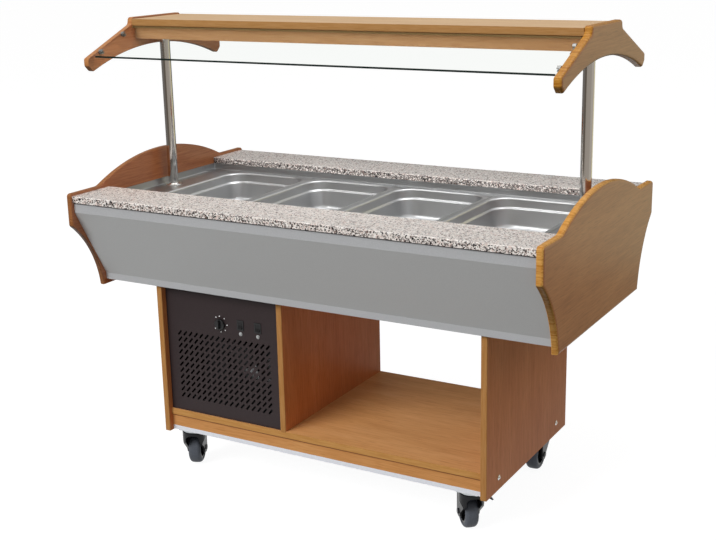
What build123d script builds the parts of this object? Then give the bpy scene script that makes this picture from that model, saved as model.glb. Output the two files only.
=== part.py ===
from build123d import *
import math
import os

# Refrigerated buffet trolley, in millimetres.
# X runs along the length, -Y is the customers' side, +Z is up.
# The origin is on the floor, under the middle of the trolley.

# Gastronorm pans
PAN_COUNT = 4
PAN_WIDTH = 325.0
PAN_LENGTH = 530.0
PAN_HEIGHT = 100.0
PAN_SHEET = 1.5
PAN_RIM = 14.0
PAN_RIM_CORNER = 12.0
PAN_CORNER = 66.0
PAN_GAP = 2.0
PAN_SHOULDER_DROP = 31.0
PAN_SHOULDER_STEP = 5.0
PAN_DRAFT = 4.0
PAN_FLOOR_RADIUS = 16.0

# Cold well
WORKTOP_Z = 903.0
LEDGE_DROP = 41.0
PAN_SEAT = 12.0
UNDER_PAN = 72.0
END_LEDGE = 94.5
TUB_SHEET = 1.5
TUB_CORNER = 30.0
UPSTAND_SETBACK = 3.0
FOAM_SIDE = 40.0
FOAM_FLOOR = 60.0
CASING_SHEET = 1.2
COIL_TUBE = 8.0
COIL_PITCH = 80.0
COIL_MARGIN = 40.0
COIL_GAP = 0.3

# Stone worktops and the aprons under them
DEPTH = 898.0
SLAB_THICKNESS = 20.0
SLAB_SETBACK = 6.0
SLAB_MARGIN = 10.0
SLAB_EASE = 2.0
APRON_SETBACK = 6.0
APRON_STANDOFF = 22.3
APRON_BOARD = 4.0
APRON_UPPER_BAND = 29.5
APRON_LOWER_BAND = 20.5
APRON_BELOW_CASING = 5.0
TRIM_SHEET = 1.5
TRIM_LIP = 16.0

# End panels
END_PANEL = 20.0
END_SHOULDER_RISE = 8.0
END_CROWN_RISE = 82.0
END_ARCH_HALF = 318.0
END_ARCH_BLEND = 45.0
END_CORNER = 10.0
END_EDGE = 101.0
END_FOOT_PROUD = 13.0
END_FOOT_BELOW_APRON = 16.5
END_SCALLOP_SAGITTA = 24.0
END_OUTER_ROUND = 8.5
END_INNER_ROUND = 2.5

# Canopy
CANOPY_RISE = 504.0
BOARD_THICKNESS = 20.0
BOARD_HALF_DEPTH = 124.0
FASCIA_SETBACK = 14.0
FASCIA_THICKNESS = 18.0
FASCIA_HEIGHT = 42.0
BRACKET_INSET = 7.0
BRACKET_THICKNESS = 22.5
BRACKET_PROUD = 5.0
BRACKET_HEAD_INSET = 4.0
BRACKET_HEAD_HEIGHT = 21.0
ARM_REACH = 210.0
ARM_FALL = 87.0
ARM_NOSE = 23.0
ARM_TIP_BACK = 18.0
ARM_TIP_DROP = 18.0
ARM_UNDERSIDE_RISE = 61.0
BRACKET_ROUND = 9.0
BRACKET_NECK_ROUND = 14.0
BRACKET_OUTER_ROUND = 8.5
BRACKET_INNER_ROUND = 2.5
POST_DIAMETER = 32.0
POST_INSET = 56.5
POST_WALL = 2.0
ROSETTE_DIAMETER = 58.0
ROSETTE_HEIGHT = 6.0
ROSETTE_PLAY = 0.3

# Sneeze guard
GLASS_THICKNESS = 6.0
GLASS_END_PLAY = 4.0
GLASS_LOW_EDGE = 308.0
GLASS_HIGH_EDGE = 128.0
GLASS_BELOW_ARM = 7.0
CLAMP_DIAMETER = 16.0
CLAMP_LENGTH = 10.0
CLAMP_PLAY = 0.2
CLAMP_LOW = 31.0
CLAMP_SPACING = 116.0

# Canopy lamp
LAMP_LENGTH = 1000.0
LAMP_WIDTH = 70.0
LAMP_HEIGHT = 24.0
LAMP_SHEET = 1.5
DIFFUSER_DROP = 8.0

# Base cabinet
END_OVERHANG = 208.5
BASE_PANEL = 19.0
BASE_SETBACK = 11.0
BASE_PANEL_DROP = 2.0
BOTTOM_BOARD = 14.0
PLINTH_HEIGHT = 38.5
PLINTH_THICKNESS = 19.0
PLINTH_SETBACK = 4.0
SHELF_THICKNESS = 19.0
SHELF_DADO = 3.0
FRONT_SETBACK = 14.0
BACK_SETBACK = 4.0
UNIT_WIDTH = 414.0
BASE_EDGE_ROUND = 1.5

# Perforated front of the machine compartment
GRILLE_RECESS = 20.0
GRILLE_SHEET = 1.5
GRILLE_LIP = 15.0
GRILLE_PLAY = 0.5
SLOT_LENGTH = 20.0
SLOT_WIDTH = 6.0
SLOT_TILT = 48.0
SLOT_PITCH = 20.6
SLOT_LEFT_MARGIN = 40.0
SLOT_RIGHT_MARGIN = 30.0
SLOT_FOOT_MARGIN = 42.5
SLOT_HEAD_MARGIN = 147.0
LOUVRE_LENGTH = 300.0
LOUVRE_HEIGHT = 8.0
LOUVRE_PITCH = 26.0
LOUVRE_MARGIN = 60.0

# Controls
DIAL_OFFSET = -2.0
DIAL_DROP = 107.0
KNOB_DIAMETER = 34.0
KNOB_HEIGHT = 15.0
KNOB_GRIP = 7.0
KNOB_LIFT = 0.8
KNOB_ROUND = 1.5
SPINDLE_DIAMETER = 6.0
SPINDLE_DEPTH = 14.0
SPINDLE_PLAY = 0.05
THERMOSTAT_WIDTH = 44.0
THERMOSTAT_DEPTH = 30.0
SWITCH_OFFSETS = (73.0, 136.0)
SWITCH_DROP = 101.0
SWITCH_WIDTH = 24.0
SWITCH_HEIGHT = 32.0
SWITCH_BEZEL = 2.0
SWITCH_LIP = 2.5
SWITCH_DEPTH = 30.0
SWITCH_PLAY = 0.2
SWITCH_WALL = 2.0
ROCKER_WELL = 11.0
ROCKER_PLAY = 0.5
ROCKER_TILT = 10.0
ROCKER_CREST = 3.5
ROCKER_VALLEY = 2.2
ROCKER_BACK = 4.0
ROCKER_PIN = 3.0
ROCKER_PIN_PLAY = 0.05
PILOT_DROP = 128.0
PILOT_DIAMETER = 9.0
PILOT_FLANGE = 1.5
PILOT_DEPTH = 14.0
PILOT_PLAY = 0.2

# Condensing unit
TRAY_SHEET = 2.0
TRAY_RIM = 14.0
TRAY_MARGIN = 22.0
TRAY_FRONT = 60.0
TRAY_BACK = 50.0
FAN_OFFSET = 58.0
FAN_HEADROOM = 2.0
FAN_SHARE = 0.646
FAN_TIP_GAP = 8.0
FAN_BLADES = 5
FAN_HUB_DIAMETER = 60.0
FAN_HUB_LENGTH = 20.0
BLADE_SHEET = 2.0
BLADE_CHORD = 38.0
BLADE_ROOT_PITCH = 30.0
BLADE_TIP_PITCH = 20.0
MOTOR_STANDOFF = 25.0
MOTOR_DIAMETER = 84.0
MOTOR_LENGTH = 46.0
MOTOR_SHAFT = 8.0
MOTOR_SHAFT_DEPTH = 30.0
MOTOR_PLAY = 0.05
STRAP_SHEET = 2.0
STRAP_WIDTH = 26.0
STRAP_PLAY = 2.0
FAN_GAP = 3.0
SHROUD_SHEET = 1.5
SHROUD_LIP = 5.0
CONDENSER_SIDE = 57.0
CONDENSER_HEADROOM = 92.0
CONDENSER_DEPTH = 70.0
CONDENSER_PLATE = 2.0
CONDENSER_TUBE = 9.0
CONDENSER_ROWS = 5
STUB_LENGTH = 16.0
COMPRESSOR_OFFSET = -60.0
COMPRESSOR_GAP = 100.0
COMPRESSOR_DIAMETER = 146.0
COMPRESSOR_HEIGHT = 178.0
COMPRESSOR_DOME = 42.0
COMPRESSOR_SEAM = 4.0
COMPRESSOR_FOOT = 12.0
COMPRESSOR_PLATE = 3.0
COMPRESSOR_PLATE_MARGIN = 14.0
GROMMET_DIAMETER = 22.0
STUB_REACH = 20.0
DISCHARGE_RISE = 75.0
SUCTION_RISE = 115.0
PIPE_DIAMETER = 8.0
PIPE_BEND = 14.0
PIPE_OUTRUN = 22.0
PIPE_DEPTH_SHIFT = 76.0
DRIER_DIAMETER = 22.0
DRIER_LENGTH = 100.0
DRIER_RISE = 80.0

# Casters
CASTER_HEIGHT = 132.0
CASTER_INSET_X = 51.0
CASTER_INSET_Y = 37.0
CASTER_HEADINGS = {"fl": 24.0, "fr": 41.0, "bl": 215.0, "br": 183.0}
WHEEL_DIAMETER = 100.0
TYRE_WIDTH = 40.0
TYRE_DEPTH = 14.0
TYRE_SHOULDER = 12.0
TYRE_FIT = 0.05
HUB_BOSS_DIAMETER = 26.0
HUB_WEB = 8.0
HUB_RIM = 6.0
HUB_RIM_INSET = 2.0
AXLE_DIAMETER = 10.0
AXLE_PLAY = 0.05
AXLE_HEAD_DIAMETER = 16.0
AXLE_HEAD = 3.0
TRAIL = 32.0
WHEEL_CLEARANCE = 4.0
WHEEL_SIDE_PLAY = 2.0
CHEEK = 7.5
HEAD_DIAMETER = 73.0
HEAD_HEIGHT = 26.0
LOBE_FALL = 16.0
MOUTH_FLARE = 10.0
MOUTH_ROUND = 14.0
NAPE = 12.0
FORK_BOSS_DIAMETER = 32.0
PLATE_SIZE = 72.0
PLATE_SHEET = 3.0
PLATE_CORNER = 8.0
RACE_DIAMETER = 68.0
RACE_HEIGHT = 6.0
RACE_GAP = 0.4
KINGPIN_DIAMETER = 12.0
KINGPIN_DEPTH = 12.0
KINGPIN_PLAY = 0.05

# Brake levers on the casters of the right-hand end
BRAKED = ("fr", "br")
LEVER_DROP = 14.6
LEVER_SET_IN = 6.5
LEVER_WIDTH = 18.0
LEVER_PLAY = 0.5
LEVER_BARREL = 10.0
LEVER_SHEET = 4.0
LEVER_PIN = 5.0
LEVER_PIN_DEPTH = 5.0
LEVER_PIN_PLAY = 0.05
LEVER_NOTCH_DROP = 12.0
LEVER_NOTCH_RISE = 7.0
LEVER_NOTCH_BACK = 6.0
LEVER_FLAT = 12.0
LEVER_RUN = 21.0
LEVER_FALL = 17.0

# Derived places, from the pans outwards
PAN_PITCH = PAN_WIDTH + PAN_GAP
ROW_HALF = (PAN_COUNT * PAN_PITCH - PAN_GAP) / 2
INNER_HALF = ROW_HALF + END_LEDGE
LENGTH = 2 * (INNER_HALF + END_PANEL)
HALF_DEPTH = DEPTH / 2
WELL_HALF_X = ROW_HALF - PAN_SEAT
WELL_HALF_Y = PAN_LENGTH / 2 - PAN_SEAT
SLAB_INNER = PAN_LENGTH / 2 + SLAB_MARGIN
SLAB_OUTER = HALF_DEPTH - SLAB_SETBACK
SLAB_UNDERSIDE = WORKTOP_Z - SLAB_THICKNESS
LEDGE_Z = WORKTOP_Z - LEDGE_DROP
TUB_FLOOR_Z = LEDGE_Z - PAN_HEIGHT - UNDER_PAN
COIL_Z = TUB_FLOOR_Z - TUB_SHEET - COIL_GAP - COIL_TUBE / 2
FOAM_TOP_Z = COIL_Z - COIL_TUBE / 2 - COIL_GAP
CASING_Z = FOAM_TOP_Z - FOAM_FLOOR - CASING_SHEET
CASING_HALF_Y = WELL_HALF_Y + TUB_SHEET + FOAM_SIDE + CASING_SHEET
APRON_TOP_Y = SLAB_OUTER - APRON_SETBACK
APRON_FOOT_Y = CASING_HALF_Y + APRON_STANDOFF
FLANGE_UNDERSIDE = SLAB_UNDERSIDE - TUB_SHEET
APRON_UPPER_Z = FLANGE_UNDERSIDE - APRON_UPPER_BAND
APRON_FOOT_Z = CASING_Z - APRON_BELOW_CASING
APRON_LOWER_Z = APRON_FOOT_Z + APRON_LOWER_BAND
END_SHOULDER_Z = WORKTOP_Z + END_SHOULDER_RISE
END_CROWN_Z = WORKTOP_Z + END_CROWN_RISE
END_EDGE_Z = END_SHOULDER_Z - END_EDGE
END_FOOT_Z = APRON_FOOT_Z - END_FOOT_BELOW_APRON
END_FOOT_HALF = APRON_FOOT_Y + END_FOOT_PROUD
BOARD_TOP_Z = WORKTOP_Z + CANOPY_RISE
BOARD_UNDERSIDE = BOARD_TOP_Z - BOARD_THICKNESS
FASCIA_FRONT = BOARD_HALF_DEPTH - FASCIA_SETBACK
BRACKET_OUTER = LENGTH / 2 - BRACKET_INSET
BRACKET_INNER = BRACKET_OUTER - BRACKET_THICKNESS
NECK_Z = BOARD_TOP_Z + BRACKET_PROUD - BRACKET_HEAD_HEIGHT
ARM_NOSE_Y = BOARD_HALF_DEPTH + ARM_REACH
ARM_NOSE_Z = NECK_Z - ARM_FALL
ARM_SLOPE = math.degrees(math.atan2(ARM_FALL, ARM_REACH))
GLASS_LOW_Z = NECK_Z - (GLASS_LOW_EDGE - BOARD_HALF_DEPTH) * ARM_FALL / ARM_REACH - GLASS_BELOW_ARM
POST_X = LENGTH / 2 - POST_INSET
BASE_HALF = LENGTH / 2 - END_OVERHANG
BASE_INNER = BASE_HALF - BASE_PANEL
BASE_HALF_DEPTH = APRON_FOOT_Y - BASE_SETBACK
BASE_FRONT = -(BASE_HALF_DEPTH - FRONT_SETBACK)
BASE_BACK = BASE_HALF_DEPTH - BACK_SETBACK
PLINTH_FRONT = BASE_FRONT + PLINTH_SETBACK
PLINTH_BACK = BASE_BACK - PLINTH_SETBACK
PLINTH_Z = CASTER_HEIGHT + BOTTOM_BOARD
SHELF_Z = PLINTH_Z + PLINTH_HEIGHT + SHELF_THICKNESS
UNIT_RIGHT = -BASE_INNER + UNIT_WIDTH
UNIT_MIDDLE = UNIT_RIGHT - UNIT_WIDTH / 2
GRILLE_Y = -(BASE_HALF_DEPTH - GRILLE_RECESS)
GRILLE_BACK = GRILLE_Y + GRILLE_SHEET
DIAL_X = UNIT_MIDDLE + DIAL_OFFSET
DIAL_Z = CASING_Z - DIAL_DROP
SWITCH_Z = CASING_Z - SWITCH_DROP
PILOT_Z = CASING_Z - PILOT_DROP
SWITCH_BODY_WIDTH = SWITCH_WIDTH - 2 * SWITCH_LIP
SWITCH_BODY_HEIGHT = SWITCH_HEIGHT - 2 * SWITCH_LIP
ROCKER_HALF_WIDTH = SWITCH_BODY_WIDTH / 2 - SWITCH_WALL - ROCKER_PLAY
ROCKER_HALF_HEIGHT = SWITCH_BODY_HEIGHT / 2 - SWITCH_WALL - ROCKER_PLAY
TRAY_TOP = SHELF_Z + TRAY_SHEET
FAN_X = UNIT_MIDDLE + FAN_OFFSET
MOTOR_FRONT = GRILLE_BACK + MOTOR_STANDOFF
STRAP_Y = MOTOR_FRONT + MOTOR_LENGTH
FAN_FRONT = STRAP_Y + STRAP_SHEET + FAN_GAP
CONDENSER_FRONT = FAN_FRONT + FAN_HUB_LENGTH + FAN_GAP
CONDENSER_BACK = CONDENSER_FRONT + CONDENSER_DEPTH
CONDENSER_HALF = UNIT_WIDTH / 2 - CONDENSER_SIDE
CONDENSER_HEIGHT = CASING_Z - TRAY_TOP - CONDENSER_HEADROOM
FAN_DIAMETER = FAN_SHARE * CONDENSER_HEIGHT
SHROUD_RADIUS = FAN_DIAMETER / 2 + FAN_TIP_GAP
FAN_Z = TRAY_TOP + CONDENSER_HEIGHT - FAN_HEADROOM - SHROUD_LIP - SHROUD_RADIUS
COMPRESSOR_X = UNIT_MIDDLE + COMPRESSOR_OFFSET
COMPRESSOR_Y = CONDENSER_BACK + COMPRESSOR_GAP + COMPRESSOR_DIAMETER / 2
COMPRESSOR_Z = TRAY_TOP + COMPRESSOR_FOOT + COMPRESSOR_PLATE
CASTER_X = BASE_INNER - CASTER_INSET_X
CASTER_FRONT = PLINTH_FRONT + CASTER_INSET_Y
CASTER_BACK = PLINTH_BACK - CASTER_INSET_Y
WHEEL_RADIUS = WHEEL_DIAMETER / 2
HUB_RADIUS = WHEEL_RADIUS - TYRE_DEPTH
FORK_HALF_WIDTH = TYRE_WIDTH / 2 + WHEEL_SIDE_PLAY + CHEEK
RACE_Z = CASTER_HEIGHT - PLATE_SHEET - RACE_HEIGHT
CROWN_Z = RACE_Z - RACE_GAP
BROW_Z = CROWN_Z - HEAD_HEIGHT
LEVER_Y = HEAD_DIAMETER / 2 - LEVER_SET_IN
LEVER_Z = CROWN_Z - LEVER_DROP


def block(x, y, z):
    """A box between a low and a high value on each axis."""
    size = [high - low for low, high in (x, y, z)]
    middle = [(high + low) / 2 for low, high in (x, y, z)]
    return Pos(*middle) * Box(*size)


def rod(start, end, diameter):
    """A round bar from one point to another."""
    line = Vector(*end) - Vector(*start)
    foot = Plane(origin=start, z_dir=line.normalized())
    return extrude(foot * Circle(diameter / 2), line.length)


def along_x(outline, low, high):
    """A closed outline of (y, z) points carried along X."""
    face = Plane.YZ * make_face(Polyline(*outline, close=True))
    return Pos(low, 0, 0) * extrude(face, high - low)


def front_and_back(shape):
    """The piece as drawn, and its twin on the other long side, as two solids."""
    return Compound([shape, mirror(shape, Plane.XZ)])


def turned_edges(solid, y, z):
    """The edges along X that pass the points (y, z) and (-y, z)."""
    def near(edge):
        return math.isclose(abs(edge.center().Y), y, abs_tol=0.01) and math.isclose(
            edge.center().Z, z, abs_tol=0.01
        )
    return [edge for edge in solid.edges().filter_by(Axis.X) if near(edge)]


def eased_board(board, outer, inner):
    """A board that stands across X, with the edges of its outer and inner faces rounded over."""
    board = fillet(board.faces().filter_by(Axis.X).sort_by(Axis.X)[-1].edges(), outer)
    return fillet(board.faces().filter_by(Axis.X).sort_by(Axis.X)[0].edges(), inner)


# Wooden end panels

def end_panel():
    """The right end panel: an arched top edge, square shoulders and scalloped lower corners."""
    half = Curve() + [
        ThreePointArc((-END_ARCH_HALF, END_SHOULDER_Z), (0, END_CROWN_Z), (END_ARCH_HALF, END_SHOULDER_Z)),
        Line((END_ARCH_HALF, END_SHOULDER_Z), (HALF_DEPTH, END_SHOULDER_Z)),
        Line((HALF_DEPTH, END_SHOULDER_Z), (HALF_DEPTH, END_EDGE_Z)),
        SagittaArc((HALF_DEPTH, END_EDGE_Z), (END_FOOT_HALF, END_FOOT_Z), -END_SCALLOP_SAGITTA),
        Line((END_FOOT_HALF, END_FOOT_Z), (-END_FOOT_HALF, END_FOOT_Z)),
        SagittaArc((-END_FOOT_HALF, END_FOOT_Z), (-HALF_DEPTH, END_EDGE_Z), -END_SCALLOP_SAGITTA),
        Line((-HALF_DEPTH, END_EDGE_Z), (-HALF_DEPTH, END_SHOULDER_Z)),
        Line((-HALF_DEPTH, END_SHOULDER_Z), (-END_ARCH_HALF, END_SHOULDER_Z)),
    ]
    panel = Pos(INNER_HALF, 0, 0) * extrude(Plane.YZ * make_face(half), END_PANEL)
    panel = fillet(turned_edges(panel, END_ARCH_HALF, END_SHOULDER_Z), END_ARCH_BLEND)
    panel = fillet(turned_edges(panel, HALF_DEPTH, END_SHOULDER_Z), END_CORNER)
    panel = fillet(turned_edges(panel, HALF_DEPTH, END_EDGE_Z), END_CORNER)
    return eased_board(panel, END_OUTER_ROUND, END_INNER_ROUND)


# Stone worktops and the sloping aprons

def worktop():
    """The front stone slab, with its long edges eased."""
    slab = block(
        (-INNER_HALF, INNER_HALF), (-SLAB_OUTER, -SLAB_INNER), (SLAB_UNDERSIDE, WORKTOP_Z)
    )
    return chamfer(slab.faces().sort_by(Axis.Z)[-1].edges().filter_by(Axis.X), SLAB_EASE)


def apron():
    """The front apron board, which leans in towards the base."""
    lean = math.atan2(APRON_TOP_Y - APRON_FOOT_Y, APRON_UPPER_Z - APRON_LOWER_Z)
    across = APRON_BOARD / math.cos(lean)
    outline = [
        (-APRON_TOP_Y, APRON_UPPER_Z),
        (-APRON_FOOT_Y, APRON_LOWER_Z),
        (-APRON_FOOT_Y + across, APRON_LOWER_Z),
        (-APRON_TOP_Y + across, APRON_UPPER_Z),
    ]
    return along_x(outline, -INNER_HALF, INNER_HALF)


def apron_trims():
    """Folded strips above and below each apron: a vertical band and a lip turned inwards."""
    upper = [
        (-APRON_TOP_Y, APRON_UPPER_Z),
        (-APRON_TOP_Y + TRIM_SHEET, APRON_UPPER_Z),
        (-APRON_TOP_Y + TRIM_SHEET, FLANGE_UNDERSIDE - TRIM_SHEET),
        (-APRON_TOP_Y + TRIM_LIP, FLANGE_UNDERSIDE - TRIM_SHEET),
        (-APRON_TOP_Y + TRIM_LIP, FLANGE_UNDERSIDE),
        (-APRON_TOP_Y, FLANGE_UNDERSIDE),
    ]
    lower = [
        (-APRON_FOOT_Y, APRON_FOOT_Z),
        (-APRON_FOOT_Y + TRIM_SHEET, APRON_FOOT_Z),
        (-APRON_FOOT_Y + TRIM_SHEET, APRON_LOWER_Z - TRIM_SHEET),
        (-CASING_HALF_Y, APRON_LOWER_Z - TRIM_SHEET),
        (-CASING_HALF_Y, APRON_LOWER_Z),
        (-APRON_FOOT_Y, APRON_LOWER_Z),
    ]
    strips = [along_x(outline, -INNER_HALF, INNER_HALF) for outline in (upper, lower)]
    return Compound([*strips, *[mirror(strip, Plane.XZ) for strip in strips]])


# Cold well

def well_tub():
    """The steel tub: basin, ledge for the pans, upstand, and flanges under the stone."""
    basin_x = WELL_HALF_X + TUB_SHEET
    basin_y = WELL_HALF_Y + TUB_SHEET
    upstand_y = SLAB_INNER + UPSTAND_SETBACK
    inner_x = INNER_HALF - TUB_SHEET
    ledge_low = LEDGE_Z - TUB_SHEET
    depth = LEDGE_Z - TUB_FLOOR_Z
    ledge = block(
        (-INNER_HALF, INNER_HALF), (-upstand_y - TUB_SHEET, upstand_y + TUB_SHEET), (ledge_low, SLAB_UNDERSIDE)
    )
    ledge -= block((-inner_x, inner_x), (-upstand_y, upstand_y), (LEDGE_Z, SLAB_UNDERSIDE))
    flange = block(
        (-INNER_HALF, INNER_HALF), (-APRON_TOP_Y, -upstand_y), (FLANGE_UNDERSIDE, SLAB_UNDERSIDE)
    )
    outside = RectangleRounded(2 * basin_x, 2 * basin_y, TUB_CORNER + TUB_SHEET)
    inside = RectangleRounded(2 * WELL_HALF_X, 2 * WELL_HALF_Y, TUB_CORNER)
    basin = Pos(0, 0, TUB_FLOOR_Z - TUB_SHEET) * extrude(outside, depth)
    hollow = Pos(0, 0, TUB_FLOOR_Z) * extrude(inside, depth)
    return ledge + flange + mirror(flange, Plane.XZ) + basin - hollow


def well_insulation():
    """Foam round the basin and under the cooling tubes."""
    inner_x = INNER_HALF - CASING_SHEET
    inner_y = CASING_HALF_Y - CASING_SHEET
    foam = block(
        (-inner_x, inner_x), (-inner_y, inner_y), (CASING_Z + CASING_SHEET, LEDGE_Z - TUB_SHEET)
    )
    basin_x = WELL_HALF_X + TUB_SHEET
    basin_y = WELL_HALF_Y + TUB_SHEET
    return foam - block((-basin_x, basin_x), (-basin_y, basin_y), (FOAM_TOP_Z, LEDGE_Z))


def well_casing():
    """The sheet-steel box that closes the foam from below and carries the stone's flanges."""
    inner_x = INNER_HALF - CASING_SHEET
    inner_y = CASING_HALF_Y - CASING_SHEET
    rim = LEDGE_Z - TUB_SHEET
    casing = block((-INNER_HALF, INNER_HALF), (-CASING_HALF_Y, CASING_HALF_Y), (CASING_Z, rim))
    casing -= block((-inner_x, inner_x), (-inner_y, inner_y), (CASING_Z + CASING_SHEET, rim))
    wall = block((-INNER_HALF, INNER_HALF), (-CASING_HALF_Y, -inner_y), (rim, FLANGE_UNDERSIDE))
    return casing + wall + mirror(wall, Plane.XZ)


def evaporator_coil():
    """One cooling tube that winds to and fro under the basin floor."""
    reach = WELL_HALF_X - COIL_MARGIN
    runs = int((WELL_HALF_Y - COIL_MARGIN) // COIL_PITCH)
    points = []
    for index in range(-runs, runs + 1):
        side = reach if (index + runs) % 2 else -reach
        points.append((side, index * COIL_PITCH, COIL_Z))
        points.append((-side, index * COIL_PITCH, COIL_Z))
    ends = Plane(origin=points[0], z_dir=Vector(*points[1]) - Vector(*points[0]))
    return sweep(ends * Circle(COIL_TUBE / 2), FilletPolyline(*points, radius=COIL_PITCH / 2 - 1))


# Gastronorm pans

def pan_space(sheet):
    """What the pan's wall encloses: a straight collar, a stacking shoulder and a drafted lower part."""
    width = PAN_WIDTH - 2 * PAN_RIM - 2 * sheet
    length = PAN_LENGTH - 2 * PAN_RIM - 2 * sheet
    corner = PAN_CORNER - sheet
    shoulder = PAN_SHOULDER_DROP - sheet
    lower_height = PAN_HEIGHT - sheet - shoulder
    collar = extrude(RectangleRounded(width, length, corner), -shoulder)
    lower_outline = RectangleRounded(
        width - 2 * PAN_SHOULDER_STEP, length - 2 * PAN_SHOULDER_STEP, corner - PAN_SHOULDER_STEP
    )
    lower = Pos(0, 0, -shoulder) * extrude(lower_outline, -lower_height, taper=PAN_DRAFT)
    lower = fillet(lower.faces().sort_by(Axis.Z)[0].edges(), PAN_FLOOR_RADIUS - sheet)
    return collar + lower


def pan(index):
    """One full-size pan, hanging by its rim on the ledge."""
    rim = extrude(RectangleRounded(PAN_WIDTH, PAN_LENGTH, PAN_RIM_CORNER), PAN_SHEET)
    hollow = pan_space(PAN_SHEET)
    mouth = RectangleRounded(
        PAN_WIDTH - 2 * PAN_RIM - 2 * PAN_SHEET,
        PAN_LENGTH - 2 * PAN_RIM - 2 * PAN_SHEET,
        PAN_CORNER - PAN_SHEET,
    )
    shell = rim + pan_space(0) - hollow - extrude(mouth, PAN_SHEET)
    middle = PAN_PITCH * (index - (PAN_COUNT - 1) / 2)
    return Pos(middle, 0, LEDGE_Z) * shell


# Canopy

def canopy_posts():
    """Two tubes standing on the end ledges, each with a rosette round its foot."""
    tube = Circle(POST_DIAMETER / 2) - Circle(POST_DIAMETER / 2 - POST_WALL)
    post = Pos(POST_X, 0, LEDGE_Z) * extrude(tube, BOARD_UNDERSIDE - LEDGE_Z)
    ring = Circle(ROSETTE_DIAMETER / 2) - Circle(POST_DIAMETER / 2 + ROSETTE_PLAY)
    rosette = extrude(ring, ROSETTE_HEIGHT)
    outer_rim = rosette.edges().filter_by(GeomType.CIRCLE).sort_by(Axis.Z).group_by(Axis.Z)[-1]
    rosette = chamfer(outer_rim.sort_by(SortBy.RADIUS)[-1], ROSETTE_HEIGHT / 2)
    right = [post, Pos(POST_X, 0, LEDGE_Z) * rosette]
    return Compound([*right, *[mirror(piece, Plane.YZ) for piece in right]])


def canopy_board():
    """The flat top board between the two brackets."""
    return block(
        (-BRACKET_INNER, BRACKET_INNER),
        (-BOARD_HALF_DEPTH, BOARD_HALF_DEPTH),
        (BOARD_UNDERSIDE, BOARD_TOP_Z),
    )


def canopy_fascias():
    """The two beams under the board, set back from its edges."""
    beam = block(
        (-BRACKET_INNER, BRACKET_INNER),
        (-FASCIA_FRONT, -FASCIA_FRONT + FASCIA_THICKNESS),
        (BOARD_UNDERSIDE - FASCIA_HEIGHT, BOARD_UNDERSIDE),
    )
    return front_and_back(beam)


def canopy_bracket():
    """The right bracket: a head at the board's end and two arms over an arched underside."""
    head_y = BOARD_HALF_DEPTH - BRACKET_HEAD_INSET
    head_z = BOARD_TOP_Z + BRACKET_PROUD
    nose_low = ARM_NOSE_Z - ARM_NOSE
    tip_y = ARM_NOSE_Y - ARM_TIP_BACK
    tip_z = nose_low - ARM_TIP_DROP
    arm = [
        (head_y, head_z),
        (BOARD_HALF_DEPTH, NECK_Z),
        (ARM_NOSE_Y, ARM_NOSE_Z),
        (ARM_NOSE_Y, nose_low),
        (tip_y, tip_z),
    ]
    other = [(-y, z) for y, z in reversed(arm)]
    outline = Curve() + [
        Polyline(*other, *arm),
        ThreePointArc((tip_y, tip_z), (0, tip_z + ARM_UNDERSIDE_RISE), (-tip_y, tip_z)),
    ]
    bracket = Pos(BRACKET_INNER, 0, 0) * extrude(Plane.YZ * make_face(outline), BRACKET_THICKNESS)
    bracket = fillet(turned_edges(bracket, BOARD_HALF_DEPTH, NECK_Z), BRACKET_NECK_ROUND)
    for y, z in (arm[0], *arm[2:]):
        bracket = fillet(turned_edges(bracket, y, z), BRACKET_ROUND)
    return eased_board(bracket, BRACKET_OUTER_ROUND, BRACKET_INNER_ROUND)


def slope_frame(distance):
    """A frame on the middle of the glass, this far up the slope from its low edge."""
    low = Plane(
        origin=(0, -GLASS_LOW_EDGE, GLASS_LOW_Z),
        x_dir=(1, 0, 0),
        z_dir=(0, -math.sin(math.radians(ARM_SLOPE)), math.cos(math.radians(ARM_SLOPE))),
    )
    return low * Pos(0, distance, 0)


def guard_glass():
    """The flat pane on the customers' side, sloping down from the board."""
    run = (GLASS_LOW_EDGE - GLASS_HIGH_EDGE) / math.cos(math.radians(ARM_SLOPE))
    width = 2 * (BRACKET_INNER - GLASS_END_PLAY)
    pane = Box(width, run, GLASS_THICKNESS)
    return slope_frame(run / 2) * pane


def glass_clamps():
    """Round clamps on the brackets' inner faces, each slotted for the edge of the pane."""
    root = GLASS_END_PLAY - CLAMP_PLAY
    barrel = Rot(0, -90, 0) * Cylinder(
        CLAMP_DIAMETER / 2, CLAMP_LENGTH, align=(Align.CENTER, Align.CENTER, Align.MIN)
    )
    slot = block(
        (-CLAMP_LENGTH, -root),
        (-CLAMP_DIAMETER, CLAMP_DIAMETER),
        (-GLASS_THICKNESS / 2 - CLAMP_PLAY, GLASS_THICKNESS / 2 + CLAMP_PLAY),
    )
    clamp = barrel - slot
    right = [
        slope_frame(distance) * Pos(BRACKET_INNER, 0, 0) * clamp
        for distance in (CLAMP_LOW, CLAMP_LOW + CLAMP_SPACING)
    ]
    return Compound([*right, *[mirror(piece, Plane.YZ) for piece in right]])


def lamp_housing():
    """A folded trough under the board, open downwards."""
    low = BOARD_UNDERSIDE - LAMP_HEIGHT
    inner_x = LAMP_LENGTH / 2 - LAMP_SHEET
    inner_y = LAMP_WIDTH / 2 - LAMP_SHEET
    trough = block(
        (-LAMP_LENGTH / 2, LAMP_LENGTH / 2), (-LAMP_WIDTH / 2, LAMP_WIDTH / 2), (low, BOARD_UNDERSIDE)
    )
    return trough - block((-inner_x, inner_x), (-inner_y, inner_y), (low, BOARD_UNDERSIDE - LAMP_SHEET))


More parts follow.
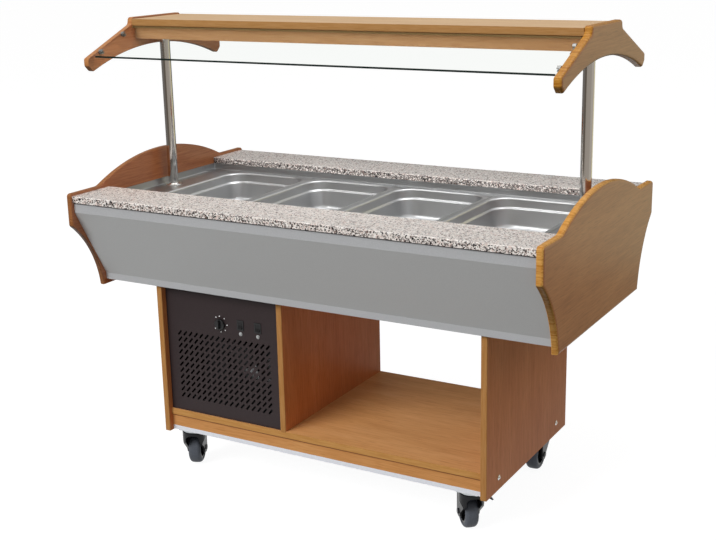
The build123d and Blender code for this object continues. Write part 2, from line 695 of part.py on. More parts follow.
def lamp_diffuser():
    """A bowed translucent cover that closes the trough from below."""
    low = BOARD_UNDERSIDE - LAMP_HEIGHT
    half = LAMP_WIDTH / 2
    outline = Curve() + [
        Line((half, low), (-half, low)),
        ThreePointArc((-half, low), (0, low - DIFFUSER_DROP), (half, low)),
    ]
    cover = extrude(Plane.YZ * make_face(outline), LAMP_LENGTH)
    return Pos(-LAMP_LENGTH / 2, 0, 0) * cover


# Base cabinet

def base_side():
    """The right side of the base, from just above the floor to the underside of the well."""
    side = block(
        (BASE_INNER, BASE_HALF),
        (-BASE_HALF_DEPTH, BASE_HALF_DEPTH),
        (CASTER_HEIGHT - BASE_PANEL_DROP, CASING_Z),
    )
    return chamfer(side.edges().filter_by(Axis.Z), BASE_EDGE_ROUND)


def base_divider():
    """The upright between the machine compartment and the storage bay, let into the shelf."""
    upright = block(
        (UNIT_RIGHT, UNIT_RIGHT + BASE_PANEL), (BASE_FRONT, BASE_BACK), (SHELF_Z - SHELF_DADO, CASING_Z)
    )
    return chamfer(upright.edges().filter_by(Axis.Z), BASE_EDGE_ROUND)


def base_shelf():
    """The floor of both compartments, grooved across for the upright between them."""
    board = block(
        (-BASE_INNER, BASE_INNER), (BASE_FRONT, BASE_BACK), (SHELF_Z - SHELF_THICKNESS, SHELF_Z)
    )
    return board - block(
        (UNIT_RIGHT, UNIT_RIGHT + BASE_PANEL), (BASE_FRONT, BASE_BACK), (SHELF_Z - SHELF_DADO, SHELF_Z)
    )


def plinth_rails():
    """The front and back rails between the bottom board and the shelf, set back from its edges."""
    front_rail = block(
        (-BASE_INNER, BASE_INNER),
        (PLINTH_FRONT, PLINTH_FRONT + PLINTH_THICKNESS),
        (PLINTH_Z, PLINTH_Z + PLINTH_HEIGHT),
    )
    run = PLINTH_BACK - PLINTH_THICKNESS - PLINTH_FRONT
    return Compound([front_rail, Pos(0, run, 0) * front_rail])


def bottom_board():
    """The white board that the casters are screwed to."""
    return block(
        (-BASE_INNER, BASE_INNER), (PLINTH_FRONT, PLINTH_BACK), (CASTER_HEIGHT, PLINTH_Z)
    )


# Machine compartment: folded front and back panels

def spread(low, high, pitch):
    """Evenly pitched places, centred between two limits."""
    count = 1 + int((high - low) // pitch)
    middle = (low + high) / 2
    return [middle + pitch * (index - (count - 1) / 2) for index in range(count)]


def folded_panel(openings):
    """A sheet panel that fills the compartment's mouth, with its four edges folded back."""
    left = -BASE_INNER + GRILLE_PLAY
    right = UNIT_RIGHT - GRILLE_PLAY
    width = right - left
    height = CASING_Z - SHELF_Z
    middle = Pos((left + right) / 2, (SHELF_Z + CASING_Z) / 2)
    sheet = middle * Rectangle(width, height) - openings
    rim = middle * (Rectangle(width, height) - Rectangle(width - 2 * GRILLE_SHEET, height - 2 * GRILLE_SHEET))
    face = extrude(Plane.XZ.offset(-GRILLE_BACK) * sheet, GRILLE_SHEET)
    lips = extrude(Plane.XZ.offset(-GRILLE_BACK - GRILLE_LIP) * rim, GRILLE_LIP)
    return face + lips


def unit_front_grille():
    """The black front panel: slanting slots below, and the cut-outs for the controls above."""
    columns = spread(-BASE_INNER + SLOT_LEFT_MARGIN, UNIT_RIGHT - SLOT_RIGHT_MARGIN, SLOT_PITCH)
    rows = spread(SHELF_Z + SLOT_FOOT_MARGIN, CASING_Z - SLOT_HEAD_MARGIN, SLOT_PITCH)
    slot = Rectangle(SLOT_LENGTH, SLOT_WIDTH)
    openings = [Pos(x, z) * Rot(0, 0, SLOT_TILT) * slot for x in columns for z in rows]
    openings.append(Pos(DIAL_X, DIAL_Z) * Circle(SPINDLE_DIAMETER))
    for offset in SWITCH_OFFSETS:
        cutout = Rectangle(SWITCH_BODY_WIDTH + 2 * SWITCH_PLAY, SWITCH_BODY_HEIGHT + 2 * SWITCH_PLAY)
        openings.append(Pos(UNIT_MIDDLE + offset, SWITCH_Z) * cutout)
        openings.append(Pos(UNIT_MIDDLE + offset, PILOT_Z) * Circle(PILOT_DIAMETER / 2 + PILOT_PLAY))
    return folded_panel(openings)


def unit_back_panel():
    """The panel on the staff side, with a stack of level air slots."""
    heights = spread(SHELF_Z + LOUVRE_MARGIN, CASING_Z - LOUVRE_MARGIN, LOUVRE_PITCH)
    openings = [Pos(UNIT_MIDDLE, z) * Rectangle(LOUVRE_LENGTH, LOUVRE_HEIGHT) for z in heights]
    return mirror(folded_panel(openings), Plane.XZ)


# Machine compartment: controls

def facing(x, z):
    """A frame on the grille's front face, with its third axis pointing out to the customers."""
    return Plane(origin=(x, GRILLE_Y, z), x_dir=(1, 0, 0), z_dir=(0, -1, 0))


def thermostat():
    """The thermostat behind the grille, with a bore for the knob's spindle."""
    back = -GRILLE_SHEET - THERMOSTAT_DEPTH
    body = Pos(0, 0, back) * extrude(RectangleRounded(THERMOSTAT_WIDTH, THERMOSTAT_WIDTH, KNOB_GRIP), THERMOSTAT_DEPTH)
    bore = Pos(0, 0, back) * Cylinder(
        SPINDLE_DIAMETER / 2 + SPINDLE_PLAY, 2 * THERMOSTAT_DEPTH, align=(Align.CENTER, Align.CENTER, Align.MIN)
    )
    return facing(DIAL_X, DIAL_Z) * (body - bore)


def thermostat_knob():
    """The dial knob: a skirt, a grip bar across it and the spindle behind."""
    skirt = Pos(0, 0, KNOB_LIFT) * extrude(Circle(KNOB_DIAMETER / 2), KNOB_HEIGHT / 2)
    skirt = chamfer(skirt.edges().filter_by(GeomType.CIRCLE).sort_by(Axis.Z)[-1], KNOB_ROUND)
    grip = Pos(0, 0, KNOB_LIFT) * extrude(SlotOverall(KNOB_DIAMETER - 4 * KNOB_ROUND, KNOB_GRIP, 90), KNOB_HEIGHT)
    back = -GRILLE_SHEET - SPINDLE_DEPTH
    spindle = Pos(0, 0, back) * extrude(Circle(SPINDLE_DIAMETER / 2), KNOB_LIFT + KNOB_HEIGHT / 2 - back)
    return facing(DIAL_X, DIAL_Z) * (skirt + grip + spindle)


def switch_housings():
    """Two switch bodies pushed through the grille, each with a bezel and a well for its rocker."""
    bezel = extrude(Rectangle(SWITCH_WIDTH, SWITCH_HEIGHT), SWITCH_BEZEL)
    body = extrude(Rectangle(SWITCH_BODY_WIDTH, SWITCH_BODY_HEIGHT), -SWITCH_DEPTH)
    well = Pos(0, 0, SWITCH_BEZEL - ROCKER_WELL) * extrude(
        Rectangle(SWITCH_BODY_WIDTH - 2 * SWITCH_WALL, SWITCH_BODY_HEIGHT - 2 * SWITCH_WALL), ROCKER_WELL
    )
    pivot = Rot(0, 90, 0) * Cylinder(ROCKER_PIN / 2 + ROCKER_PIN_PLAY, SWITCH_BODY_WIDTH - SWITCH_WALL)
    housing = bezel + body - well - pivot
    return Compound([facing(UNIT_MIDDLE + offset, SWITCH_Z) * housing for offset in SWITCH_OFFSETS])


def rocker(offset):
    """One rocker on its two pivot pins, tipped with its upper half pressed in."""
    half = ROCKER_HALF_HEIGHT
    outline = [
        (half, ROCKER_CREST),
        (0, ROCKER_VALLEY),
        (-half, ROCKER_CREST),
        (-half, -ROCKER_BACK / 2),
        (-half / 2, -ROCKER_BACK),
        (half / 2, -ROCKER_BACK),
        (half, -ROCKER_BACK / 2),
    ]
    cap = Pos(-ROCKER_HALF_WIDTH, 0, 0) * extrude(
        Plane.YZ * make_face(Polyline(*outline, close=True)), 2 * ROCKER_HALF_WIDTH
    )
    reach = 2 * (ROCKER_HALF_WIDTH + ROCKER_PLAY) + SWITCH_WALL / 2
    pins = Rot(0, 90, 0) * Cylinder(ROCKER_PIN / 2, reach)
    return facing(UNIT_MIDDLE + offset, SWITCH_Z) * Rot(-ROCKER_TILT, 0, 0) * (cap + pins)


def pilot_lamps():
    """Two small lenses under the switches, pushed through the grille."""
    radius = PILOT_DIAMETER / 2
    stem = extrude(Circle(radius), -PILOT_DEPTH)
    flange = extrude(Circle(radius + PILOT_FLANGE), PILOT_FLANGE)
    dome = Pos(0, 0, PILOT_FLANGE) * extrude(Circle(radius), radius / 2)
    dome = chamfer(dome.edges().sort_by(Axis.Z)[-1], radius / 3)
    lamp = stem + flange + dome
    return Compound([facing(UNIT_MIDDLE + offset, PILOT_Z) * lamp for offset in SWITCH_OFFSETS])


# Machine compartment: condensing unit

def unit_tray():
    """The folded base plate of the condensing unit."""
    x = (-BASE_INNER + TRAY_MARGIN, UNIT_RIGHT - TRAY_MARGIN)
    y = (GRILLE_Y + TRAY_FRONT, BASE_HALF_DEPTH - TRAY_BACK)
    tray = block(x, y, (SHELF_Z, SHELF_Z + TRAY_RIM))
    inside = block((x[0] + TRAY_SHEET, x[1] - TRAY_SHEET), y, (TRAY_TOP, SHELF_Z + TRAY_RIM))
    return tray - inside


def compressor():
    """A welded pot with domed ends, on a plate with four rubber feet and two pipe stubs."""
    radius = COMPRESSOR_DIAMETER / 2
    seam = COMPRESSOR_HEIGHT / 2
    pot = extrude(Circle(radius), COMPRESSOR_HEIGHT)
    pot = fillet(pot.edges().filter_by(GeomType.CIRCLE).sort_by(Axis.Z)[-1], COMPRESSOR_DOME)
    pot = fillet(pot.edges().filter_by(GeomType.CIRCLE).sort_by(Axis.Z)[0], COMPRESSOR_DOME / 2)
    pot += Pos(0, 0, seam) * Cylinder(radius + COMPRESSOR_SEAM, COMPRESSOR_SEAM)
    reach = radius + STUB_REACH
    pot += rod((0, 0, DISCHARGE_RISE), (reach, 0, DISCHARGE_RISE), PIPE_DIAMETER)
    pot += rod((0, 0, SUCTION_RISE), (-reach, 0, SUCTION_RISE), PIPE_DIAMETER)
    plate_half = radius + COMPRESSOR_PLATE_MARGIN
    plate = Pos(0, 0, -COMPRESSOR_PLATE) * extrude(
        RectangleRounded(2 * plate_half, 2 * plate_half, GROMMET_DIAMETER / 2), COMPRESSOR_PLATE
    )
    place = plate_half - GROMMET_DIAMETER / 2
    foot = extrude(Circle(GROMMET_DIAMETER / 2), -COMPRESSOR_FOOT)
    feet = [Pos(x, y, -COMPRESSOR_PLATE) * foot for x in (-place, place) for y in (-place, place)]
    return Pos(COMPRESSOR_X, COMPRESSOR_Y, COMPRESSOR_Z) * (pot + plate + feet)


def condenser_heights():
    """Heights of the condenser's tube rows above the tray."""
    step = CONDENSER_HEIGHT / (CONDENSER_ROWS + 1)
    return [TRAY_TOP + step * (row + 1) for row in range(CONDENSER_ROWS)]


def condenser():
    """A finned block between two end plates, with tube bends on the left and two stubs on the right."""
    left = UNIT_MIDDLE - CONDENSER_HALF
    right = UNIT_MIDDLE + CONDENSER_HALF
    middle = (CONDENSER_FRONT + CONDENSER_BACK) / 2
    core = block(
        (left, right),
        (CONDENSER_FRONT + CONDENSER_PLATE, CONDENSER_BACK - CONDENSER_PLATE),
        (TRAY_TOP + CONDENSER_PLATE, TRAY_TOP + CONDENSER_HEIGHT - CONDENSER_PLATE),
    )
    for x in (left, right - CONDENSER_PLATE):
        core += block(
            (x, x + CONDENSER_PLATE), (CONDENSER_FRONT, CONDENSER_BACK), (TRAY_TOP, TRAY_TOP + CONDENSER_HEIGHT)
        )
    heights = condenser_heights()
    bend = (heights[1] - heights[0]) / 2
    for low in heights[:-1:2]:
        ring = Pos(left, middle, low + bend) * Rot(90, 0, 0) * Torus(bend, CONDENSER_TUBE / 2)
        core += ring & block((left - 2 * bend, left), (CONDENSER_FRONT, CONDENSER_BACK), (low - bend, low + 3 * bend))
    for z in (heights[0], heights[-1]):
        core += rod((right, middle, z), (right + STUB_LENGTH, middle, z), PIPE_DIAMETER)
    return core


def fan_shroud():
    """The plate on the condenser's face, with a collar round the fan and a strap that carries the motor."""
    low = TRAY_TOP
    high = TRAY_TOP + CONDENSER_HEIGHT
    middle_z = (low + high) / 2
    plate_front = CONDENSER_FRONT - SHROUD_SHEET
    collar_front = STRAP_Y + STRAP_SHEET
    sheet = Pos(UNIT_MIDDLE, middle_z) * Rectangle(2 * CONDENSER_HALF, CONDENSER_HEIGHT)
    fan_place = Pos(FAN_X, FAN_Z)
    mouth = fan_place * Circle(SHROUD_RADIUS)
    ring = fan_place * Circle(SHROUD_RADIUS + SHROUD_SHEET) - mouth
    lip = fan_place * Circle(SHROUD_RADIUS + SHROUD_LIP) - mouth
    plate = extrude(Plane.XZ.offset(-CONDENSER_FRONT) * (sheet - mouth), SHROUD_SHEET)
    collar = extrude(Plane.XZ.offset(-plate_front) * ring, plate_front - collar_front)
    collar += extrude(Plane.XZ.offset(-collar_front - SHROUD_SHEET) * lip, SHROUD_SHEET)
    strap_outline = fan_place * Rectangle(2 * (SHROUD_RADIUS + SHROUD_LIP), STRAP_WIDTH)
    strap_outline -= fan_place * Circle(MOTOR_SHAFT / 2 + STRAP_PLAY)
    strap = extrude(Plane.XZ.offset(-collar_front) * strap_outline, STRAP_SHEET)
    return plate + collar + strap


def fan_frame(y):
    """A frame on the fan's axis with its third axis towards the back of the trolley."""
    return Plane(origin=(FAN_X, y, FAN_Z), x_dir=(1, 0, 0), z_dir=(0, 1, 0))


def fan_motor():
    """The round motor in front of the strap, bored for the fan's shaft."""
    can = extrude(Circle(MOTOR_DIAMETER / 2), MOTOR_LENGTH)
    can = chamfer(can.edges().filter_by(GeomType.CIRCLE).sort_by(Axis.Z)[0], MOTOR_LENGTH / 5)
    bore = Pos(0, 0, MOTOR_LENGTH - MOTOR_SHAFT_DEPTH - FAN_GAP) * extrude(
        Circle(MOTOR_SHAFT / 2 + MOTOR_PLAY), MOTOR_SHAFT_DEPTH + FAN_GAP
    )
    return fan_frame(MOTOR_FRONT) * (can - bore)


def fan_rotor():
    """Hub, twisted blades and the shaft that runs in the motor."""
    hub = extrude(Circle(FAN_HUB_DIAMETER / 2), FAN_HUB_LENGTH)
    shaft_start = -(FAN_FRONT - STRAP_Y) - MOTOR_SHAFT_DEPTH
    shaft = Pos(0, 0, shaft_start) * extrude(Circle(MOTOR_SHAFT / 2), -shaft_start)
    root_radius = FAN_HUB_DIAMETER / 2 - 2 * BLADE_SHEET
    section = Rectangle(BLADE_CHORD, BLADE_SHEET)
    outwards = Plane(origin=(0, 0, FAN_HUB_LENGTH / 2), x_dir=(0, 1, 0), z_dir=(1, 0, 0))
    root = outwards.offset(root_radius) * Rot(0, 0, BLADE_ROOT_PITCH) * section
    tip = outwards.offset(FAN_DIAMETER / 2) * Rot(0, 0, BLADE_TIP_PITCH) * section
    blade = loft([root, tip], ruled=True)
    blades = [Rot(0, 0, 360 / FAN_BLADES * index) * blade for index in range(FAN_BLADES)]
    return fan_frame(FAN_FRONT) * (hub + shaft + blades)


def pipe(points):
    """A round tube along straight runs with bends between them."""
    start = Plane(origin=points[0], z_dir=Vector(*points[1]) - Vector(*points[0]))
    return sweep(start * Circle(PIPE_DIAMETER / 2), FilletPolyline(*points, radius=PIPE_BEND))


def refrigerant_pipes():
    """Discharge, liquid and suction lines, with the filter drier in the liquid line."""
    heights = condenser_heights()
    middle = (CONDENSER_FRONT + CONDENSER_BACK) / 2
    stub_x = UNIT_MIDDLE + CONDENSER_HALF + STUB_LENGTH
    riser_x = stub_x + PIPE_OUTRUN
    reach = COMPRESSOR_DIAMETER / 2 + STUB_REACH
    discharge_z = COMPRESSOR_Z + DISCHARGE_RISE
    suction_z = COMPRESSOR_Z + SUCTION_RISE
    back_y = COMPRESSOR_Y + PIPE_DEPTH_SHIFT
    drier_low = heights[0] + DRIER_RISE
    drier_high = drier_low + DRIER_LENGTH
    discharge = pipe([
        (COMPRESSOR_X + reach, COMPRESSOR_Y, discharge_z),
        (riser_x, COMPRESSOR_Y, discharge_z),
        (riser_x, COMPRESSOR_Y, heights[-1]),
        (riser_x, middle, heights[-1]),
        (stub_x, middle, heights[-1]),
    ])
    liquid = pipe([
        (stub_x, middle, heights[0]),
        (riser_x, middle, heights[0]),
        (riser_x, back_y, heights[0]),
        (riser_x, back_y, drier_low),
    ])
    drier = rod((riser_x, back_y, drier_low), (riser_x, back_y, drier_high), DRIER_DIAMETER)
    drier = chamfer(drier.edges().filter_by(GeomType.CIRCLE), DRIER_DIAMETER / 4)
    capillary = rod((riser_x, back_y, drier_high), (riser_x, back_y, CASING_Z), PIPE_DIAMETER)
    suction_x = COMPRESSOR_X - reach - PIPE_OUTRUN
    suction = pipe([
        (COMPRESSOR_X - reach, COMPRESSOR_Y, suction_z),
        (suction_x, COMPRESSOR_Y, suction_z),
        (suction_x, back_y, suction_z),
        (suction_x, back_y, CASING_Z),
    ])
    return Compound([discharge, liquid, drier, capillary, suction])


# Casters. Each is drawn about its swivel axis with its leading side towards +X, then turned and placed.

def caster_place(corner):
    """Where a caster stands and which way it is turned."""
    x = CASTER_X if corner[1] == "r" else -CASTER_X
    y = CASTER_FRONT if corner[0] == "f" else CASTER_BACK
    return Pos(x, y, 0) * Rot(0, 0, CASTER_HEADINGS[corner] - 90)


def axle_frame():
    """A frame at the middle of the wheel with its third axis along the axle."""
    return Plane(origin=(-TRAIL, 0, WHEEL_RADIUS), x_dir=(1, 0, 0), z_dir=(0, 1, 0))


def caster_plates():
    """Top plates, each with the fixed bearing race and the kingpin under it."""
    plate = extrude(RectangleRounded(PLATE_SIZE, PLATE_SIZE, PLATE_CORNER), -PLATE_SHEET)
    race = Pos(0, 0, -PLATE_SHEET) * extrude(Circle(RACE_DIAMETER / 2), -RACE_HEIGHT)
    race = chamfer(race.edges().filter_by(GeomType.CIRCLE).sort_by(Axis.Z)[0], RACE_HEIGHT / 3)
    kingpin = Pos(0, 0, RACE_Z - CASTER_HEIGHT) * extrude(Circle(KINGPIN_DIAMETER / 2), -KINGPIN_DEPTH)
    mount = Pos(0, 0, CASTER_HEIGHT) * (plate + race + kingpin)
    return Compound([Pos(x, y, 0) * mount for x in (-CASTER_X, CASTER_X) for y in (CASTER_FRONT, CASTER_BACK)])


def wheel_mouth():
    """The room for the wheel: a round pocket about the axle, opened forwards as a rising arch."""
    half = TYRE_WIDTH / 2 + WHEEL_SIDE_PLAY
    pocket = Cylinder(WHEEL_RADIUS + WHEEL_CLEARANCE, 2 * half)
    pocket = fillet(pocket.edges().filter_by(GeomType.CIRCLE), MOUTH_ROUND)
    top = WHEEL_DIAMETER + WHEEL_CLEARANCE
    reach = HEAD_DIAMETER / 2
    outline = [(-TRAIL, 0), (reach, 0), (reach, top + MOUTH_FLARE), (-TRAIL, top)]
    arch = extrude(Plane.XZ * make_face(Polyline(*outline, close=True)), half, both=True)
    ceiling = arch.faces().sort_by(Axis.Z)[-1]
    shoulders = ceiling.edges().sort_by(SortBy.LENGTH)[-2:]
    return axle_frame() * pocket + fillet(shoulders, MOUTH_ROUND)


def fork_body():
    """The hood where the side, front and top outlines meet, with the wheel's mouth cut out of it."""
    boss = FORK_BOSS_DIAMETER / 2
    back = -TRAIL - boss
    head = HEAD_DIAMETER / 2
    low = WHEEL_RADIUS - boss
    side = [
        (back, CROWN_Z - NAPE),
        (back + NAPE, CROWN_Z),
        (head, CROWN_Z),
        (head, BROW_Z),
        (-TRAIL + boss, WHEEL_RADIUS),
        (-TRAIL + boss, low),
        (back, low),
    ]
    front = [
        (-head, CROWN_Z),
        (head, CROWN_Z),
        (head, BROW_Z),
        (FORK_HALF_WIDTH, BROW_Z - LOBE_FALL),
        (FORK_HALF_WIDTH, low),
        (-FORK_HALF_WIDTH, low),
        (-FORK_HALF_WIDTH, BROW_Z - LOBE_FALL),
        (-head, BROW_Z),
    ]
    top = Circle(head) + Pos(back / 2, 0) * Rectangle(-back, 2 * FORK_HALF_WIDTH)
    body = extrude(Plane.XZ * make_face(Polyline(*side, close=True)), head, both=True)
    foot_edges = body.edges().filter_by(Axis.Y).group_by(Axis.Z)[0]
    body = fillet(foot_edges, boss - AXLE_PLAY)
    body &= extrude(Plane.YZ * make_face(Polyline(*front, close=True)), 2 * TRAIL + head, both=True)
    body &= extrude(top, CROWN_Z)
    body -= wheel_mouth()
    body -= axle_frame() * Cylinder(AXLE_DIAMETER / 2 + AXLE_PLAY, 2 * FORK_HALF_WIDTH)
    return body - Pos(0, 0, CROWN_Z) * extrude(Circle(KINGPIN_DIAMETER / 2 + KINGPIN_PLAY), -WHEEL_RADIUS)


def lever_notch():
    """The notch in the hood's side that the brake lever sits in, with two bores for its pins."""
    half = LEVER_WIDTH / 2 + LEVER_PLAY
    notch = block(
        (-half, half),
        (LEVER_Y - LEVER_NOTCH_BACK, HEAD_DIAMETER),
        (LEVER_Z - LEVER_NOTCH_DROP, LEVER_Z + LEVER_NOTCH_RISE),
    )
    reach = half + LEVER_PIN_DEPTH
    return notch + rod((-reach, LEVER_Y, LEVER_Z), (reach, LEVER_Y, LEVER_Z), LEVER_PIN + 2 * LEVER_PIN_PLAY)


def caster_fork(corner):
    """The hooded fork and the axle bolt through its cheeks."""
    fork = fork_body()
    if corner in BRAKED:
        fork -= lever_notch()
    axle = Cylinder(AXLE_DIAMETER / 2, 2 * FORK_HALF_WIDTH)
    for side_sign in (-1, 1):
        place = Pos(0, 0, side_sign * (FORK_HALF_WIDTH + AXLE_HEAD / 2))
        axle += place * Cylinder(AXLE_HEAD_DIAMETER / 2, AXLE_HEAD)
    return caster_place(corner) * Compound([fork, axle_frame() * axle])


def turned(profile):
    """A closed profile of (radius, offset along the axle) points turned about the axle."""
    face = make_face(profile)
    return axle_frame() * revolve(Plane.XZ * face, Axis.Z)


def caster_hub(corner):
    """The wheel centre: a long boss on the axle, a thin web and a rim."""
    bore = AXLE_DIAMETER / 2 + AXLE_PLAY
    boss = HUB_BOSS_DIAMETER / 2
    boss_half = TYRE_WIDTH / 2 + WHEEL_SIDE_PLAY / 2
    rim_half = TYRE_WIDTH / 2 - HUB_RIM_INSET
    rim = HUB_RADIUS - HUB_RIM
    upper = [
        (bore, boss_half),
        (boss, boss_half),
        (boss, HUB_WEB / 2),
        (rim, HUB_WEB / 2),
        (rim, rim_half),
        (HUB_RADIUS, rim_half),
    ]
    lower = [(radius, -offset) for radius, offset in reversed(upper)]
    return caster_place(corner) * turned(Polyline(*upper, *lower, close=True))


def caster_tyre(corner):
    """The rubber tyre: a ring with rounded shoulders."""
    half = TYRE_WIDTH / 2
    inner = HUB_RADIUS + TYRE_FIT
    section = Pos((inner + WHEEL_RADIUS) / 2, 0) * Rectangle(WHEEL_RADIUS - inner, 2 * half)
    section = fillet(section.vertices().group_by(Axis.X)[-1], TYRE_SHOULDER)
    return caster_place(corner) * (axle_frame() * revolve(Plane.XZ * section, Axis.Z))


def brake_lever(corner):
    """The side lever: a barrel with two pins, and a blade that reaches out and droops."""
    knee = LEVER_Y + LEVER_FLAT
    tip = knee + LEVER_RUN
    top = LEVER_Z + LEVER_BARREL / 2
    outline = [
        (LEVER_Y, top),
        (knee, top - LEVER_SHEET / 2),
        (tip, top - LEVER_SHEET / 2 - LEVER_FALL),
        (tip - LEVER_SHEET, top - LEVER_SHEET - LEVER_FALL),
        (knee - LEVER_SHEET / 2, top - 1.6 * LEVER_SHEET),
        (LEVER_Y, LEVER_Z),
    ]
    half = LEVER_WIDTH / 2
    blade = extrude(Plane.YZ * make_face(Polyline(*outline, close=True)), half, both=True)
    barrel = rod((-half, LEVER_Y, LEVER_Z), (half, LEVER_Y, LEVER_Z), LEVER_BARREL)
    reach = half + LEVER_PIN_DEPTH
    pins = rod((-reach, LEVER_Y, LEVER_Z), (reach, LEVER_Y, LEVER_Z), LEVER_PIN)
    return caster_place(corner) * (blade + barrel + pins)


# The whole trolley, one entry for each named piece

pieces = {
    "end_panel_right": end_panel(),
    "worktop_front": worktop(),
    "apron_front": apron(),
    "apron_trims": apron_trims(),
    "well_tub": well_tub(),
    "well_insulation": well_insulation(),
    "well_casing": well_casing(),
    "evaporator_coil": evaporator_coil(),
    "canopy_posts": canopy_posts(),
    "canopy_board": canopy_board(),
    "canopy_fascias": canopy_fascias(),
    "canopy_bracket_right": canopy_bracket(),
    "guard_glass": guard_glass(),
    "glass_clamps": glass_clamps(),
    "lamp_housing": lamp_housing(),
    "lamp_diffuser": lamp_diffuser(),
    "base_side_right": base_side(),
    "base_divider": base_divider(),
    "base_shelf": base_shelf(),
    "plinth_rails": plinth_rails(),
    "bottom_board": bottom_board(),
    "unit_front_grille": unit_front_grille(),
    "unit_back_panel": unit_back_panel(),
    "thermostat": thermostat(),
    "thermostat_knob": thermostat_knob(),
    "switch_housings": switch_housings(),
    "cooling_rocker": rocker(SWITCH_OFFSETS[0]),
    "lamp_rocker": rocker(SWITCH_OFFSETS[1]),
    "pilot_lamps": pilot_lamps(),
    "unit_tray": unit_tray(),
    "compressor": compressor(),
    "condenser": condenser(),
    "fan_shroud": fan_shroud(),
    "fan_motor": fan_motor(),
    "fan_rotor": fan_rotor(),
    "refrigerant_pipes": refrigerant_pipes(),
    "caster_plates": caster_plates(),
}
for side in ("end_panel", "canopy_bracket", "base_side"):
    pieces[f"{side}_left"] = mirror(pieces[f"{side}_right"], Plane.YZ)
for slab in ("worktop", "apron"):
    pieces[f"{slab}_back"] = mirror(pieces[f"{slab}_front"], Plane.XZ)
for index in range(PAN_COUNT):
    pieces[f"pan_{index + 1}"] = pan(index)
for corner in CASTER_HEADINGS:
    pieces[f"caster_fork_{corner}"] = caster_fork(corner)
    pieces[f"caster_hub_{corner}"] = caster_hub(corner)
    pieces[f"caster_tyre_{corner}"] = caster_tyre(corner)
for corner in BRAKED:
    pieces[f"brake_lever_{corner}"] = brake_lever(corner)

os.makedirs("parts", exist_ok=True)
for name, shape in pieces.items():
    export_step(shape, f"parts/{name}.step")
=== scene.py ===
"""The dressed model of a refrigerated buffet trolley.

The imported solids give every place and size. This script forms the pressed steel, turns the round fittings and
gives each piece its finish: beech laminate, polished granite, satin and chromed steel, enamel, glass, rubber.
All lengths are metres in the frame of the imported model: X along the trolley, -Y to the customers, Z up.
"""
import math

import bpy
import mathutils
import numpy as np
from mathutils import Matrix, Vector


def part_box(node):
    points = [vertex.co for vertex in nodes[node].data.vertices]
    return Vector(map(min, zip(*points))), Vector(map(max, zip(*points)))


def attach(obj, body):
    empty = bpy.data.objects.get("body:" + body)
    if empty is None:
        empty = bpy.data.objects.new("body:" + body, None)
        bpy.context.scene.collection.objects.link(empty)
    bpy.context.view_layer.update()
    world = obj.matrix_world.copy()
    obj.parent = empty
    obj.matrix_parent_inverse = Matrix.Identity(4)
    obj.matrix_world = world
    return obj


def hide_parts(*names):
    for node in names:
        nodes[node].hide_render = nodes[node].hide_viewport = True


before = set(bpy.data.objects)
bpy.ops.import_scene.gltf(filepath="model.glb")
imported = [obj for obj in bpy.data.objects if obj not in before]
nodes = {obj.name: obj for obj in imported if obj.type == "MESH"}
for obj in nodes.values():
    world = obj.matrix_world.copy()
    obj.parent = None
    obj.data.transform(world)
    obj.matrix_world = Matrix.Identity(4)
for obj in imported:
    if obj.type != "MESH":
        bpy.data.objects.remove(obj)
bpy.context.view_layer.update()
MM = 0.001


# Finishes

def linear(colour):
    """Linear red, green, blue and alpha from an sRGB hex text."""
    levels = np.array([int(colour[i:i + 2], 16) / 255 for i in (0, 2, 4)])
    return [*np.where(levels <= 0.04045, levels / 12.92, ((levels + 0.055) / 1.055) ** 2.4), 1.0]


def node(tree, kind, sockets=None, stops=None, **settings):
    """Adds a node with its settings.

    A socket takes a value or another node's output, and a colour ramp takes its stops.
    """
    made = tree.nodes.new("ShaderNode" + kind)
    for name, value in settings.items():
        setattr(made, name, value)
    for key, value in (sockets or {}).items():
        if isinstance(value, bpy.types.NodeSocket):
            tree.links.new(value, made.inputs[key])
        else:
            made.inputs[key].default_value = value
    if stops:
        ramp = made.color_ramp.elements
        ramp[0].position, ramp[0].color = stops[0][0], linear(stops[0][1])
        ramp[1].position, ramp[1].color = stops[-1][0], linear(stops[-1][1])
        for place, colour in stops[1:-1]:
            ramp.new(place).color = linear(colour)
    return made


def begin(name):
    """A new material with an empty tree, and the piece's own coordinates and normals."""
    made = bpy.data.materials.new(name)
    made.use_nodes = True
    made.node_tree.nodes.clear()
    coords = node(made.node_tree, "TexCoord")
    return made, made.node_tree, coords.outputs["Object"], coords.outputs["Normal"]


def shade(tree, sockets):
    """The shader at the end of a material's tree, joined to its output."""
    shader = node(tree, "BsdfPrincipled", sockets)
    node(tree, "OutputMaterial", {"Surface": shader.outputs[0]})


def grain(tree, place, sizes_mm, detail):
    """Noise whose cells measure about these millimetres along X, Y and Z."""
    scaled = node(tree, "Mapping", {"Vector": place, "Scale": [1 / (MM * size) for size in sizes_mm]})
    noise = node(tree, "TexNoise", {
        "Vector": scaled.outputs[0], "Scale": 1.0, "Detail": detail, "Roughness": 0.6})
    return noise.outputs["Fac"]


# Specular level of a matt board and of every edge band
MATT = 0.1
# The machine compartment lies behind the perforated front and right of the left board's inner face.
COMPARTMENT_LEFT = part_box("base_side_left")[1][0] - 0.5 * MM
COMPARTMENT_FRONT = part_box("unit_front_grille")[0][1] + 1 * MM


